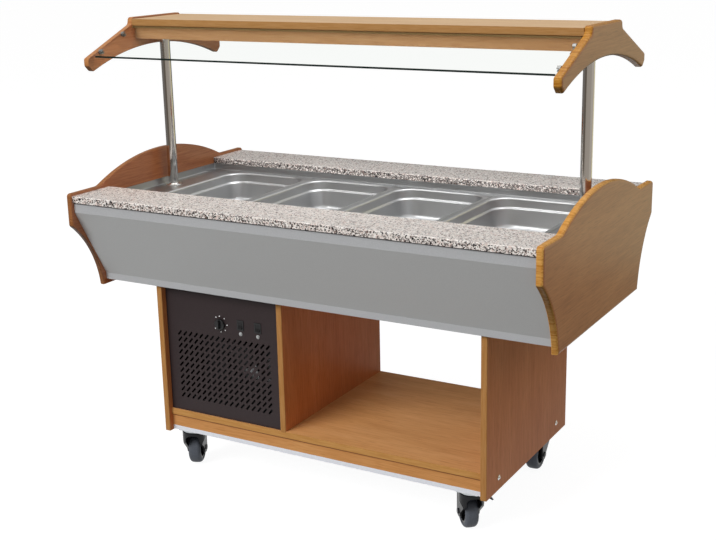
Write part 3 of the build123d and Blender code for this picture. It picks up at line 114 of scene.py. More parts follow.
def laminate(name, along, thickness, face_tones, edge_tones, edge_along, gloss=MATT, roughness=0.46,
             compartment_shade=False):
    """Beech-decor melamine on chipboard: printed faces and a glued edge band.

    along is the axis of the printed grain, thickness the axis square to the board's faces, and edge_along the
    axis of the fibres on the edge band. The eye gets an even tone with short fine darker dashes. The band is
    darker where it faces the floor: painted shade. The last argument paints the board's face inside the machine
    compartment black: painted shade.
    """
    def stretched(axis_along, along_mm, across_mm):
        return [along_mm if axis == axis_along else across_mm for axis in "xyz"]

    made, tree, place, normal = begin(name)
    clouds = grain(tree, place, stretched(along, 420, 70), 2.0)
    # Printed fibres and pores are under 1 mm wide; these widths show at this distance.
    fibres = grain(tree, place, stretched(along, 110, 4.6), 2.0)
    pores = grain(tree, place, stretched(along, 48, 2.8), 1.0)
    tone = node(tree, "Math", {0: clouds, 1: 0.45, 2: 0.0}, operation="MULTIPLY_ADD")
    tone = node(tree, "Math", {0: fibres, 1: 0.55, 2: tone.outputs[0]}, operation="MULTIPLY_ADD")
    face = node(tree, "ValToRGB", {"Fac": tone.outputs[0]},
                [(0.34, face_tones[0]), (0.5, face_tones[1]), (0.66, face_tones[2])])
    dashes = node(tree, "MapRange", {"Value": pores, "From Min": 0.56, "From Max": 0.72, "To Max": 0.45})
    face = node(tree, "Mix", {0: dashes.outputs[0], 6: face.outputs[0], 7: linear(face_tones[3])},
                data_type="RGBA")
    band = grain(tree, place, stretched(edge_along, 60, 4.0), 2.0)
    edge = node(tree, "ValToRGB", {"Fac": band}, [(0.36, edge_tones[0]), (0.64, edge_tones[1])])
    turned_to = node(tree, "SeparateXYZ", {0: normal})
    # Painted shade: the edge band is darkened where it faces the floor.
    floor_facing_shade = node(tree, "MapRange", {
        "Value": turned_to.outputs[2], "From Min": -0.5, "From Max": 0.0, "To Min": 0.4, "To Max": 1.0})
    edge = node(tree, "VectorMath", {0: edge.outputs[0], 3: floor_facing_shade.outputs[0]}, operation="SCALE")
    side = node(tree, "Math", {0: turned_to.outputs["xyz".index(thickness)]}, operation="ABSOLUTE")
    side = node(tree, "MapRange", {"Value": side.outputs[0], "From Min": 0.72, "From Max": 0.94})
    colour = node(tree, "Mix", {0: side.outputs[0], 6: edge.outputs[0], 7: face.outputs[2]}, data_type="RGBA")
    # Painted shade: the board's face inside the machine compartment is made black.
    if compartment_shade:
        spot = node(tree, "SeparateXYZ", {0: place})
        inner = node(tree, "Math", {0: spot.outputs[0], 1: COMPARTMENT_LEFT}, operation="GREATER_THAN")
        inside = node(tree, "Math", {0: spot.outputs[1], 1: COMPARTMENT_FRONT}, operation="GREATER_THAN")
        inside = node(tree, "Math", {0: inside.outputs[0], 1: inner.outputs[0]}, operation="MULTIPLY")
        colour = node(tree, "Mix", {0: inside.outputs[0], 6: colour.outputs[2], 7: linear("1C1817")},
                      data_type="RGBA")
    if gloss != MATT:
        level = node(tree, "MapRange", {"Value": side.outputs[0], "To Min": MATT, "To Max": gloss})
        gloss = level.outputs[0]
    dents = node(tree, "Bump", {"Height": pores, "Distance": 0.08 * MM, "Strength": 0.4})
    shade(tree, {
        "Base Color": colour.outputs[2],
        "Roughness": roughness,
        "Specular IOR Level": gloss,
        "Normal": dents.outputs[0],
    })
    return made


# The stones' edges along the well, as a distance from the middle
STONE_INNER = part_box("worktop_back")[0][1]


def granite():
    """Polished pink-grey granite: crystals of felspar, quartz and mica under a clear gloss.

    The crystals are 2 to 4 mm in the stone and are drawn a little larger so that single flecks show. On the
    level faces the dark flecks are fewer and paler: painted sheen of the polish. The edges show more, and the
    edges along the well most of all: painted shade under the canopy.
    """
    made, tree, place, normal = begin("polished_granite")
    wander = node(tree, "TexNoise", {"Vector": place, "Scale": 1 / (9 * MM), "Detail": 2.0})
    wander = node(tree, "VectorMath", {0: wander.outputs["Color"], 3: 7 * MM}, operation="SCALE")
    place_bent = node(tree, "VectorMath", {0: place, 1: wander.outputs[0]}, operation="ADD")
    coarse = node(tree, "TexVoronoi", {"Vector": place_bent.outputs[0], "Scale": 1 / (5.4 * MM)})
    fine = node(tree, "TexVoronoi", {"Vector": place_bent.outputs[0], "Scale": 1 / (3.2 * MM)})
    coarse = node(tree, "SeparateColor", {0: coarse.outputs["Color"]})
    fine = node(tree, "SeparateColor", {0: fine.outputs["Color"]})
    ground = node(tree, "ValToRGB", {"Fac": coarse.outputs[0]},
                  [(0.0, "E6DDD6"), (0.3, "EEE7E1"), (0.6, "DECCC4"), (0.72, "F4EFEA"), (0.9, "CEC6C1")])
    ground.color_ramp.interpolation = "CONSTANT"
    flecks = node(tree, "ValToRGB", {"Fac": fine.outputs[0]},
                  [(0.0, "262224"), (0.15, "4E4746"), (0.22, "8A7770"), (0.3, "8F8884")])
    flecks.color_ramp.interpolation = "CONSTANT"
    level = node(tree, "SeparateXYZ", {0: normal}).outputs[2]
    # Painted sheen: fewer and paler flecks on the level faces.
    share = node(tree, "MapRange", {"Value": level, "From Max": 0.9, "To Min": 0.42, "To Max": 0.18})
    polish_sheen = node(tree, "MapRange", {"Value": level, "From Max": 0.9, "To Min": 1.0, "To Max": 0.72})
    inward = node(tree, "Math", {0: node(tree, "SeparateXYZ", {0: place}).outputs[1]}, operation="ABSOLUTE")
    # Painted shade: more dark flecks on the stones' edges along the well, under the canopy.
    inner_edge_shade = node(tree, "MapRange", {
        "Value": inward.outputs[0], "From Min": STONE_INNER + 0.5 * MM, "From Max": STONE_INNER + 2 * MM,
        "To Min": 0.33, "To Max": 0.0})
    share = node(tree, "Math", {0: share.outputs[0], 1: inner_edge_shade.outputs[0]}, operation="ADD")
    mask = node(tree, "Math", {0: fine.outputs[0], 1: share.outputs[0]}, operation="LESS_THAN")
    mask = node(tree, "Math", {0: mask.outputs[0], 1: polish_sheen.outputs[0]}, operation="MULTIPLY")
    colour = node(tree, "Mix", {0: mask.outputs[0], 6: ground.outputs[0], 7: flecks.outputs[0]},
                  data_type="RGBA")
    shade(tree, {"Base Color": colour.outputs[2], "Roughness": 0.2})
    return made


def brushed(name, colour, lines_mm, roughness, spread, depth_mm=0.0):
    """Bare metal with a fine directional finish: rolling or drawing lines that soften the reflection.

    lines_mm are the lines' sizes along X, Y and Z; the finest are drawn coarse enough to show. depth_mm is
    their relief, nought on sheet whose lines are too shallow to break up a reflection.
    """
    made, tree, place, _ = begin(name)
    lines = grain(tree, place, lines_mm, 3.0)
    rough = node(tree, "MapRange", {
        "Value": lines, "From Min": 0.3, "From Max": 0.7,
        "To Min": roughness - spread, "To Max": roughness + spread})
    sockets = {"Base Color": linear(colour), "Metallic": 1.0, "Roughness": rough.outputs[0]}
    if depth_mm:
        grooves = node(tree, "Bump", {"Height": lines, "Distance": depth_mm * MM, "Strength": 0.4})
        sockets["Normal"] = grooves.outputs[0]
    shade(tree, sockets)
    return made


def coated(name, colours, cell_mm, depth_mm, roughness, **extra):
    """Paint, plastic or rubber: two close tones in small cells and the slight relief of the surface."""
    made, tree, place, _ = begin(name)
    cells = grain(tree, place, [cell_mm] * 3, 2.0)
    tone = node(tree, "ValToRGB", {"Fac": cells}, [(0.35, colours[0]), (0.65, colours[1])])
    pimples = node(tree, "Bump", {"Height": cells, "Distance": depth_mm * MM, "Strength": 0.6})
    shade(tree, {
        "Base Color": tone.outputs[0],
        "Roughness": roughness,
        "Normal": pimples.outputs[0],
        **extra,
    })
    return made


PANE_LEAN = math.radians(22.5)
PANE_MIDDLE_Z = np.mean(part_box("guard_glass"), axis=0)[2]


def pane():
    """Clear float glass: almost unseen on its faces and short ends, dark green along its low edge.

    The high edge is painted the brown of the boards round it: painted reflection.
    """
    made, tree, place, normal = begin("float_glass")
    square_to_pane = (0.0, -math.sin(PANE_LEAN), math.cos(PANE_LEAN))
    facing = node(tree, "VectorMath", {0: normal, 1: square_to_pane}, operation="DOT_PRODUCT")
    facing = node(tree, "Math", {0: facing.outputs["Value"]}, operation="ABSOLUTE")
    endways = node(tree, "SeparateXYZ", {0: normal})
    endways = node(tree, "Math", {0: endways.outputs[0]}, operation="ABSOLUTE")
    clear = node(tree, "Math", {0: facing.outputs[0], 1: endways.outputs[0]}, operation="MAXIMUM")
    clear = node(tree, "Math", {0: clear.outputs[0], 1: 0.6}, operation="GREATER_THAN")
    # Painted reflection: the high edge takes the brown of the boards round it.
    high = node(tree, "SeparateXYZ", {0: place})
    high = node(tree, "Math", {0: high.outputs[2], 1: PANE_MIDDLE_Z}, operation="GREATER_THAN")
    edge = node(tree, "Mix", {0: high.outputs[0], 6: linear("26302C"), 7: linear("6A5638")}, data_type="RGBA")
    colour = node(tree, "Mix", {0: clear.outputs[0], 6: edge.outputs[2], 7: linear("F8FAF8")},
                  data_type="RGBA")
    rough = node(tree, "MapRange", {"Value": clear.outputs[0], "To Min": 0.35, "To Max": 0.0})
    shade(tree, {
        "Base Color": colour.outputs[2],
        "Roughness": rough.outputs[0],
        "IOR": 1.03,
        "Transmission Weight": clear.outputs[0],
    })
    return made


# Ends and brackets: warm mid brown under a satin lacquer, with golden bars across the edge bands. The left
# ones'
# bands are darker: painted shade, the left and right finishes being shaded and lit copies of one laminate.
SATIN = {"gloss": 0.6, "roughness": 0.3}
END_TONES = ("9B5631", "AE693F", "BB784B", "7C3F1A")
BRACKET_TONES = ("9B5B34", "AC6C42", "BA7B4E", "7E4722")
LAMINATE_END = laminate("beech_laminate_right_end", "y", "x", END_TONES, ("BB7C32", "E0AA5C"), "x", **SATIN)
LAMINATE_END_LEFT_SHADED = laminate("beech_laminate_left_end_shaded", "y", "x", END_TONES, ("8A5831", "A06C46"), "x",
                             **SATIN)
LAMINATE_BRACKET = laminate("beech_laminate_right_bracket", "y", "x", BRACKET_TONES, ("A4681F", "CA913E"),
                            "x", **SATIN)
LAMINATE_BRACKET_LEFT_SHADED = laminate("beech_laminate_left_bracket_shaded", "y", "x", BRACKET_TONES, ("A86D40", "BC8454"),
                                 "x", **SATIN)
# Base sides and divider: redder, with the grain upright.
BASE_TONES = ("BB6E3C", "C57945", "CE8350", "9B5329")
BASE_BAND = ("AD7943", "B88651")
LAMINATE_BASE = laminate("beech_laminate_base", "z", "x", BASE_TONES, BASE_BAND, "z")
# The left base side's face inside the machine compartment is painted black: painted shade.
LAMINATE_BASE_LEFT = laminate("beech_laminate_base_left", "z", "x", BASE_TONES, BASE_BAND, "z", compartment_shade=True)
# Lying boards: the canopy's is pale, the shelf and the rails are golden, and the fascias are darker: painted
# # shade under the canopy board's edge.
LAMINATE_TOP = laminate("beech_laminate_canopy", "x", "z", ("CEA87D", "D6B389", "DFBE95", "BA8F66"),
                        ("A47744", "AE8251"), "x")
LAMINATE_SHELF = laminate("beech_laminate_shelf", "x", "z", ("CE9259", "D99E63", "E1A872", "B77A44"),
                          ("BD874A", "C99557"), "x")
LAMINATE_RAIL = laminate("beech_laminate_rails", "x", "y", ("C68A51", "D0945A", "D89F65", "AF723D"),
                         ("B67E44", "C38D53"), "x")
LAMINATE_FASCIA_SHADED = laminate("beech_laminate_fascias_shaded", "x", "y", ("8E6843", "956F4A", "9C7853", "7D5530"),
                           ("8A6135", "946D41"), "x")
GRANITE = granite()
# Cold-rolled stainless with a satin finish: a grey mirror that blurs along the sheet.
STEEL_SHEET = brushed("satin_stainless_steel", "AFB0B1", (400, 9, 9), 0.36, 0.02)
# Deep-drawn stainless: a lighter mirror with a soft even blur.
STEEL_DRAWN = brushed("drawn_stainless_steel", "C6C7C8", (90, 90, 160), 0.34, 0.015)
# Turned stainless: bright heads with fine turning lines.
STEEL_TURNED = brushed("turned_stainless_steel", "C6C6C3", (2, 30, 30), 0.22, 0.05, 0.01)
# Satin nickel plate: a soft darker grey.
NICKEL = brushed("satin_nickel", "8E8E8C", (2, 30, 30), 0.38, 0.05, 0.01)
# Chrome plate on drawn tube: an almost clear mirror.
CHROME = brushed("chrome_plate", "D6D4D0", (30, 30, 200), 0.07, 0.02)
# Galvanised sheet: dull pale grey with soft blotches.
GALVANISED = brushed("galvanised_sheet", "A7ACAE", (14, 14, 14), 0.42, 0.1, 0.02)
# The fan shroud's sheet is darkened so that the slots in front of it look dark: painted shade.
SHADED_SHEET = brushed("shaded_galvanised_sheet", "3C3F41", (14, 14, 14), 0.55, 0.1, 0.02)
# Zinc plate on pressed steel: bluish grey in fine blotches.
ZINC = brushed("zinc_plated_steel", "B9BDC0", (6, 6, 6), 0.34, 0.06, 0.02)
# Stacked aluminium fins: fine lines one behind the other along X.
ALUMINIUM = brushed("aluminium_fins", "C6C8CA", (1.8, 40, 40), 0.38, 0.08, 0.03)
# Drawn copper tube: a warm soft shine.
COPPER = brushed("copper_tube", "C77B4E", (20, 20, 20), 0.3, 0.08, 0.02)
# Lacquered aluminium profile: an even light grey.
TRIM = coated("lacquered_aluminium", ("AFB0B2", "B5B6B8"), 3.0, 0.01, 0.45)
# Grey high-pressure laminate with a fine pearl texture: plain and matt.
APRON = coated("grey_laminate", ("B3B4B4", "B8B9B9"), 2.2, 0.02, 0.5)
# White melamine board and white stove enamel: plain, with a slight shine.
WHITE_BOARD = coated("white_melamine", ("E6E8F0", "EEF0F6"), 4.0, 0.02, 0.4)
WHITE_PAINT = coated("white_stove_enamel", ("E6E6E2", "EEEEEA"), 3.0, 0.02, 0.35)
# Powder coat: brown-black and matt, with a fine grain.
BROWN_BLACK = coated("brown_black_powder_coat", ("2E2526", "362C2D"), 1.6, 0.06, 0.55,
                     **{"Specular IOR Level": 0.25})
# Stove enamel: smooth black.
BLACK_METAL = coated("black_stove_enamel", ("141415", "1B1B1C"), 4.0, 0.03, 0.32)
# Moulded nylon: black, finely grained on the controls and smooth on the casters.
BLACK_PLASTIC = coated("black_moulded_nylon", ("121213", "18181A"), 0.9, 0.03, 0.38)
CASTER_BLACK = coated("black_caster_housing", ("101113", "191A1D"), 1.4, 0.03, 0.3,
                      **{"Specular IOR Level": 0.22})
# Moulded rubber: matt bluish grey.
TYRE = coated("grey_black_rubber", ("4A4E56", "575C65"), 1.8, 0.08, 0.62)
# Sealant that also stands for the shadow gap under the stones (part painted shade), and a strip of painted
# # shadow under the shelf's edges: matt dark lines.
SEALANT_AND_SHADE = coated("dark_sealant_and_shade", ("3A3737", "444141"), 3.0, 0.02, 0.6)
PAINTED_SHADOW_STRIP = coated("painted_shadow_strip", ("8A5527", "945E2E"), 3.0, 0.02, 0.6)
# Opal acrylic: the lamp under the canopy is lit.
OPAL = coated("opal_acrylic", ("EDEDEA", "F4F4F0"), 6.0, 0.01, 0.25,
              **{"Emission Color": linear("F8FAFF"), "Emission Strength": 3.0})
# Moulded lenses over unlit lamps: pale grey.
LENS = coated("clear_white_lens", ("A4A6A6", "B6B8B8"), 1.2, 0.02, 0.2)
# Blown foam: straw yellow with coarse cells.
FOAM = coated("polyurethane_foam", ("D8C79A", "E4D6AE"), 2.5, 0.3, 0.8)
# Printing ink: flat white.
MARK_INK = coated("white_printing_ink", ("EDEDED", "F6F6F6"), 1.0, 0.01, 0.5)
GLASS = pane()

for finish, names in (
    (LAMINATE_TOP, "canopy_board"),
    (LAMINATE_SHELF, "base_shelf"),
    (LAMINATE_RAIL, "plinth_rails"),
    (LAMINATE_FASCIA_SHADED, "canopy_fascias"),
    (LAMINATE_END, "end_panel_right"),
    (LAMINATE_END_LEFT_SHADED, "end_panel_left"),
    (LAMINATE_BRACKET, "canopy_bracket_right"),
    (LAMINATE_BRACKET_LEFT_SHADED, "canopy_bracket_left"),
    (LAMINATE_BASE_LEFT, "base_side_left"),
    (LAMINATE_BASE, "base_side_right base_divider"),
    (GRANITE, "worktop_front worktop_back"),
    (APRON, "apron_front apron_back"),
    (TRIM, "apron_trims"),
    (NICKEL, "glass_clamps"),
    (GALVANISED, "well_casing unit_tray"),
    (SHADED_SHEET, "fan_shroud"),
    (ZINC, "caster_plates"),
    (ALUMINIUM, "condenser"),
    (COPPER, "evaporator_coil refrigerant_pipes"),
    (FOAM, "well_insulation"),
    (WHITE_BOARD, "bottom_board"),
    (WHITE_PAINT, "lamp_housing"),
    (OPAL, "lamp_diffuser"),
    (BROWN_BLACK, "unit_front_grille unit_back_panel"),
    (BLACK_METAL, "compressor fan_motor fan_rotor"),
    (BLACK_PLASTIC, "thermostat thermostat_knob switch_housings cooling_rocker lamp_rocker"),
    (LENS, "pilot_lamps"),
    (CASTER_BLACK, "caster_fork_fl caster_fork_fr caster_fork_bl caster_fork_br caster_hub_fl caster_hub_fr "
                   "caster_hub_bl caster_hub_br brake_lever_fr brake_lever_br"),
    (GLASS, "guard_glass"),
):
    for name in names.split():
        nodes[name].data.materials.clear()
        nodes[name].data.materials.append(finish)
# Light goes through the pane.
nodes["guard_glass"].visible_shadow = False


# Surfaces

def shell(points, ends):
    """Faces over a grid of points, rows by columns, whose columns run round a closed loop.

    ends "pole" closes the first and the last row with a point at its middle; ends "ring" joins the last row
    to the first. Faces are turned so that the enclosed volume is positive.
    """
    rows, columns = points.shape[:2]
    index = np.arange(rows * columns).reshape(rows, columns)
    if ends == "ring":
        index = np.vstack([index, index[:1]])
    low, high = index[:-1], index[1:]
    quads = np.stack([low, np.roll(low, -1, 1), np.roll(high, -1, 1), high], -1).reshape(-1, 4)
    vertices = points.reshape(-1, 3)
    triangles = np.empty((0, 3), int)
    if ends == "pole":
        first, last = len(vertices), len(vertices) + 1
        vertices = np.vstack([vertices, points[0].mean(0), points[-1].mean(0)])
        top, foot = index[0], index[-1]
        triangles = np.vstack([
            np.stack([np.full(columns, first), np.roll(top, -1), top], -1),
            np.stack([np.full(columns, last), foot, np.roll(foot, -1)], -1),
        ])
    halves = np.vstack([quads[:, [0, 1, 2]], quads[:, [0, 2, 3]], triangles])
    a, b, c = (vertices[halves[:, i]] for i in range(3))
    if np.einsum("ij,ij->", a, np.cross(b, c)) < 0:
        quads, triangles = quads[:, ::-1], triangles[:, ::-1]
    return vertices, quads.tolist() + triangles.tolist()


def piece(name, shells, finish, body, crease=32):
    """A named piece from one or more shells, smooth where its faces turn by less than crease degrees."""
    vertices = []
    faces = []
    for points, cells in shells:
        start = len(vertices)
        vertices.extend(points.tolist())
        faces.extend([[start + corner for corner in cell] for cell in cells])
    mesh = bpy.data.meshes.new(name)
    mesh.from_pydata(vertices, [], faces, shade_flat=False)
    mesh.set_sharp_from_angle(angle=math.radians(crease))
    mesh.materials.append(finish)
    made = bpy.data.objects.new(name, mesh)
    bpy.context.scene.collection.objects.link(made)
    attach(made, body)
    return made


def arc(middle, radius, start, end, steps):
    """Points on a circle's arc in a profile's plane, between two angles in degrees."""
    turn = np.radians(np.linspace(start, end, steps))
    return np.column_stack([middle[0] + radius * np.cos(turn), middle[1] + radius * np.sin(turn)])


def rounded_loops(half_x, half_y, radius, heights, middle=(0.0, 0.0), corner_steps=10):
    """Level loops round rounded rectangles: each corner is a quarter circle about its own centre.

    The four first arguments hold one value for each loop. The result is a grid of loops by points round the
    loop.
    """
    quarter = np.linspace(0, math.pi / 2, corner_steps)
    turn = (np.arange(4)[:, None] * math.pi / 2 + quarter).ravel()
    sign_x = np.repeat([1, -1, -1, 1], corner_steps)
    sign_y = np.repeat([1, 1, -1, -1], corner_steps)
    rows = (half_x, half_y, radius, heights)
    half_x, half_y, radius, heights = (np.asarray(values, float)[:, None] for values in rows)
    x = middle[0] + sign_x * (half_x - radius) + radius * np.cos(turn)
    y = middle[1] + sign_y * (half_y - radius) + radius * np.sin(turn)
    return np.stack([x, y, np.broadcast_to(heights, x.shape)], -1)


def flat_bar(half_x, half_y, corner, heights, middle):
    """A level bar with straight sides between two heights."""
    return shell(rounded_loops([half_x] * 2, [half_y] * 2, [corner] * 2, heights, middle, 3), "pole")


def turned(profile, origin, axis, steps=48):
    """A profile of (radius, distance along the axis) points turned about an axis through the origin."""
    axis = np.asarray(axis, float) / np.linalg.norm(axis)
    aside = np.cross(axis, [0, 0, 1] if abs(axis[2]) < 0.9 else [1, 0, 0])
    aside /= np.linalg.norm(aside)
    upward = np.cross(axis, aside)
    turn = np.linspace(0, 2 * math.pi, steps, endpoint=False)
    round_about = np.cos(turn)[:, None] * aside + np.sin(turn)[:, None] * upward
    profile = np.asarray(profile, float)
    return np.asarray(origin) + profile[:, None, 1:] * axis + profile[:, None, :1] * round_about[None]


# Gastronorm pans, drawn from one sheet

PAN_LOW, PAN_HIGH = np.array(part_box("pan_1"))
PAN_HALF = (PAN_HIGH - PAN_LOW)[:2] / 2
PAN_SHEET = 1.5 * MM
RIM_TOP = PAN_HIGH[2]
RIM_CORNER = 12 * MM
MOUTH_INSET = 15.5 * MM
MOUTH_CORNER = 64.5 * MM
MOUTH_ROUND = 6 * MM
SHOULDER = (-27 * MM, -35 * MM)
SHOULDER_STEP = 5 * MM
PAN_DEPTH = RIM_TOP - PAN_LOW[2] - PAN_SHEET
FLOOR_ROUND = 24 * MM
DRAFT = math.radians(4)


def pan_profile():
    """The pan's section from the outside of the floor, round the rim, to the inside of the floor.

    The inner skin runs flat rim, mouth radius, collar, an S-shaped shoulder, a drafted wall and the floor
    radius; the outer skin is the inner one moved square to itself by the sheet's thickness. Columns: inset
    from the rim's edge, height above the rim's top.
    """
    ease = np.linspace(0, 1, 9)
    shoulder = np.column_stack([
        MOUTH_INSET + SHOULDER_STEP * ease ** 2 * (3 - 2 * ease),
        SHOULDER[0] + (SHOULDER[1] - SHOULDER[0]) * ease,
    ])
    floor_middle_z = -PAN_DEPTH + FLOOR_ROUND
    wall_there = MOUTH_INSET + SHOULDER_STEP + math.tan(DRAFT) * (SHOULDER[1] - floor_middle_z)
    floor_middle = (wall_there + FLOOR_ROUND / math.cos(DRAFT), floor_middle_z)
    inner = np.vstack([
        [[PAN_SHEET / 2, 0], [PAN_SHEET, 0], [MOUTH_INSET - MOUTH_ROUND - PAN_SHEET, 0]],
        arc((MOUTH_INSET - MOUTH_ROUND, -MOUTH_ROUND), MOUTH_ROUND, 90, 0, 8),
        shoulder,
        arc(floor_middle, FLOOR_ROUND, 180 + math.degrees(DRAFT), 270, 10),
    ])
    run = np.gradient(inner, axis=0)
    run /= np.linalg.norm(run, axis=1)[:, None]
    outer = inner + PAN_SHEET * np.column_stack([run[:, 1], -run[:, 0]])
    rim_edge = arc((PAN_SHEET / 2, -PAN_SHEET / 2), PAN_SHEET / 2, 270, 90, 7)[1:-1]
    return np.vstack([outer[::-1], rim_edge, inner])


def pan_shell(middle_x):
    """One pan: its section carried round a rounded rectangle whose corner grows from the rim to the mouth."""
    inset, height = pan_profile().T
    mouth_start = MOUTH_INSET - MOUTH_ROUND
    corner = np.where(
        inset < mouth_start,
        RIM_CORNER + (MOUTH_CORNER + MOUTH_ROUND - RIM_CORNER) * inset / mouth_start,
        MOUTH_CORNER + MOUTH_INSET - inset,
    )
    half_x, half_y = PAN_HALF
    loops = rounded_loops(half_x - inset, half_y - inset, corner, RIM_TOP + height, (middle_x, 0.0))
    return shell(loops, "pole")


for number in range(1, 5):
    pan_middle = np.mean(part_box(f"pan_{number}"), axis=0)
    pan = piece(f"formed_pan_{number}", [pan_shell(pan_middle[0])], STEEL_DRAWN, f"pan_{number}")
    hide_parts(f"pan_{number}")


# Cold well: one folded and welded tub with flanges under the stone

TUB_LOW, TUB_HIGH = np.array(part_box("well_tub"))
POST_LOW, POST_HIGH = np.array(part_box("canopy_posts"))
TUB_SHEET = 1.5 * MM
LEDGE_Z = POST_LOW[2]
UPSTAND_TOP = TUB_HIGH[2]
UPSTAND = (TUB_HIGH[0] - TUB_SHEET, STONE_INNER + 3 * MM)
BASIN = (0.641, 0.253)
BASIN_CORNER = 30 * MM
BASIN_FLOOR = TUB_LOW[2] + TUB_SHEET
BASIN_ROUND = 12 * MM
FOLD = 2.5 * MM
TIGHT_FOLD = 1 * MM
FLANGE_INNER = 0.279
FLANGE_OUTER = 0.432


def tub_skin(grow):
    """Half sizes, corner radius and height of the tub's loops, from the upstand's edge to the basin's floor.

    grow moves the skin outwards and downwards by a sheet's thickness.
    """
    fold = arc((0, 0), FOLD + grow, 180, 270, 6) + [FOLD, FOLD]
    lip = arc((0, 0), max(FOLD - grow, TIGHT_FOLD), 90, 0, 6)
    floor = arc((0, 0), BASIN_ROUND + grow, 180, 270, 8) + [BASIN_ROUND, BASIN_ROUND]
    upstand_x, upstand_y = UPSTAND
    basin_x, basin_y = BASIN
    rows = [[upstand_x + grow, upstand_y + grow, FOLD + grow, UPSTAND_TOP]]
    rows += [
        [upstand_x - i, upstand_y - i, FOLD + TIGHT_FOLD - min(i, FOLD), LEDGE_Z + z] for i, z in fold]
    rows += [
        [basin_x + FOLD - i, basin_y + FOLD - i, BASIN_CORNER + FOLD - i, LEDGE_Z - FOLD + z] for i, z in lip]
    rows += [[basin_x - i, basin_y - i, BASIN_CORNER - i, BASIN_FLOOR + z] for i, z in floor]
    return np.array(rows)


tub_rows = np.vstack([tub_skin(TUB_SHEET)[::-1], tub_skin(0.0)])
tub_shells = [shell(rounded_loops(*tub_rows.T), "pole")]
for side in (-1, 1):
    flange_middle = (0.0, side * (FLANGE_INNER + FLANGE_OUTER) / 2)
    flange_heights = (UPSTAND_TOP - TUB_SHEET, UPSTAND_TOP)
    tub_shells.append(flat_bar(
        TUB_HIGH[0], (FLANGE_OUTER - FLANGE_INNER) / 2, TIGHT_FOLD, flange_heights, flange_middle))
tub = piece("formed_well_tub", tub_shells, STEEL_SHEET, "cabinet")
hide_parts("well_tub")


# Chromed posts with rosettes at their feet

POST_RADIUS = 16 * MM
POST_SEAT = 2 * MM
ROSETTE_RADIUS = 29 * MM
ROSETTE_HEIGHT = 6 * MM
ROSETTE_EDGE = 1 * MM
ROSETTE_EDGE_Z = 1.2 * MM
ROSETTE_DOME = 9.4 * MM
ROSETTE_DOME_MIDDLE = 24 * MM
ROSETTE_LIP = 1 * MM
POST_X = POST_HIGH[0] - ROSETTE_RADIUS
rosette_top = LEDGE_Z + ROSETTE_HEIGHT
post_profile = [(POST_RADIUS, LEDGE_Z + POST_SEAT), (POST_RADIUS, POST_HIGH[2])]
rosette_profile = np.vstack([
    [(ROSETTE_RADIUS, LEDGE_Z)],
    arc((ROSETTE_RADIUS - ROSETTE_EDGE, LEDGE_Z + ROSETTE_EDGE_Z), ROSETTE_EDGE, 0, 80, 4),
    arc((ROSETTE_DOME_MIDDLE, LEDGE_Z - ROSETTE_HEIGHT), ROSETTE_DOME, 65, 118, 8),
    [(POST_RADIUS + ROSETTE_LIP, rosette_top), (POST_RADIUS, rosette_top)],
])
post_shells = []
for side in (-1, 1):
    for profile in (post_profile, rosette_profile):
        post_shells.append(shell(turned(profile, (side * POST_X, 0, 0), (0, 0, 1)), "pole"))
posts = piece("chromed_posts", post_shells, CHROME, "cabinet")
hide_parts("canopy_posts")


# Caster tyres, with the axles' directions in degrees from +X

HEADINGS = {"fl": 24.0, "fr": 41.0, "bl": 215.0, "br": 183.0}
TYRE_RADIUS = 50 * MM
TYRE_INNER = 36.1 * MM
TYRE_HALF = 20 * MM
TYRE_SHOULDER = 11.5 * MM
SHOULDER_DROP = 0.4 * MM
BEAD = (2 * MM, 1.5 * MM)
CROWN_HALF = 4 * MM
CROWN_DROP = 0.15 * MM
SEAM_HALF = 0.3 * MM
SEAM_FOOT = 0.8 * MM
SEAM_RISE = 0.1 * MM


def tyre_profile():
    """A tyre's section: a crowned tread with a moulding seam, round shoulders, and a bead at each side."""
    shoulder_middle = (TYRE_RADIUS - TYRE_SHOULDER - SHOULDER_DROP, TYRE_HALF - TYRE_SHOULDER)
    upper = np.vstack([
        [(TYRE_INNER, TYRE_HALF - BEAD[1]), (TYRE_INNER + BEAD[0], TYRE_HALF)],
        arc(shoulder_middle, TYRE_SHOULDER, 90, 0, 8),
        [(TYRE_RADIUS - CROWN_DROP, CROWN_HALF)],
        [(TYRE_RADIUS - SEAM_RISE, SEAM_FOOT), (TYRE_RADIUS, SEAM_HALF)],
    ])
    return np.vstack([upper, (upper * [1, -1])[::-1]])


for corner, heading in HEADINGS.items():
    wheel = np.mean(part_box(f"caster_hub_{corner}"), axis=0)
    axle = (math.cos(math.radians(heading)), math.sin(math.radians(heading)), 0.0)
    tyre = piece(f"moulded_tyre_{corner}", [shell(turned(tyre_profile(), wheel, axle, 64), "ring")], TYRE,
                 f"wheel_{corner}")
    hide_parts(f"caster_tyre_{corner}")


# Dome-headed bolts through the base sides

BASE_SIDE_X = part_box("base_side_right")[1][0]
BOLT_Y = 0.222
BOLT_Z = 0.168
BOLT_FLANGE = 8 * MM
BOLT_FLANGE_HEIGHT = 0.8 * MM
BOLT_HEAD = 6.2 * MM
BOLT_HEAD_FOOT = 1.2 * MM
BOLT_DOME = 6.4 * MM
bolt_profile = np.vstack([
    [(BOLT_FLANGE, 0.0), (BOLT_FLANGE, BOLT_FLANGE_HEIGHT), (BOLT_HEAD, BOLT_HEAD_FOOT)],
    arc((0, -BOLT_HEAD_FOOT), BOLT_DOME, 25, 84, 7),
])
bolts = [
    shell(turned(bolt_profile, (side * BASE_SIDE_X, y, BOLT_Z), (side, 0, 0), 24), "pole")
    for side in (-1, 1) for y in (-BOLT_Y, BOLT_Y)
]
piece("base_bolts", bolts, STEEL_TURNED, "cabinet")
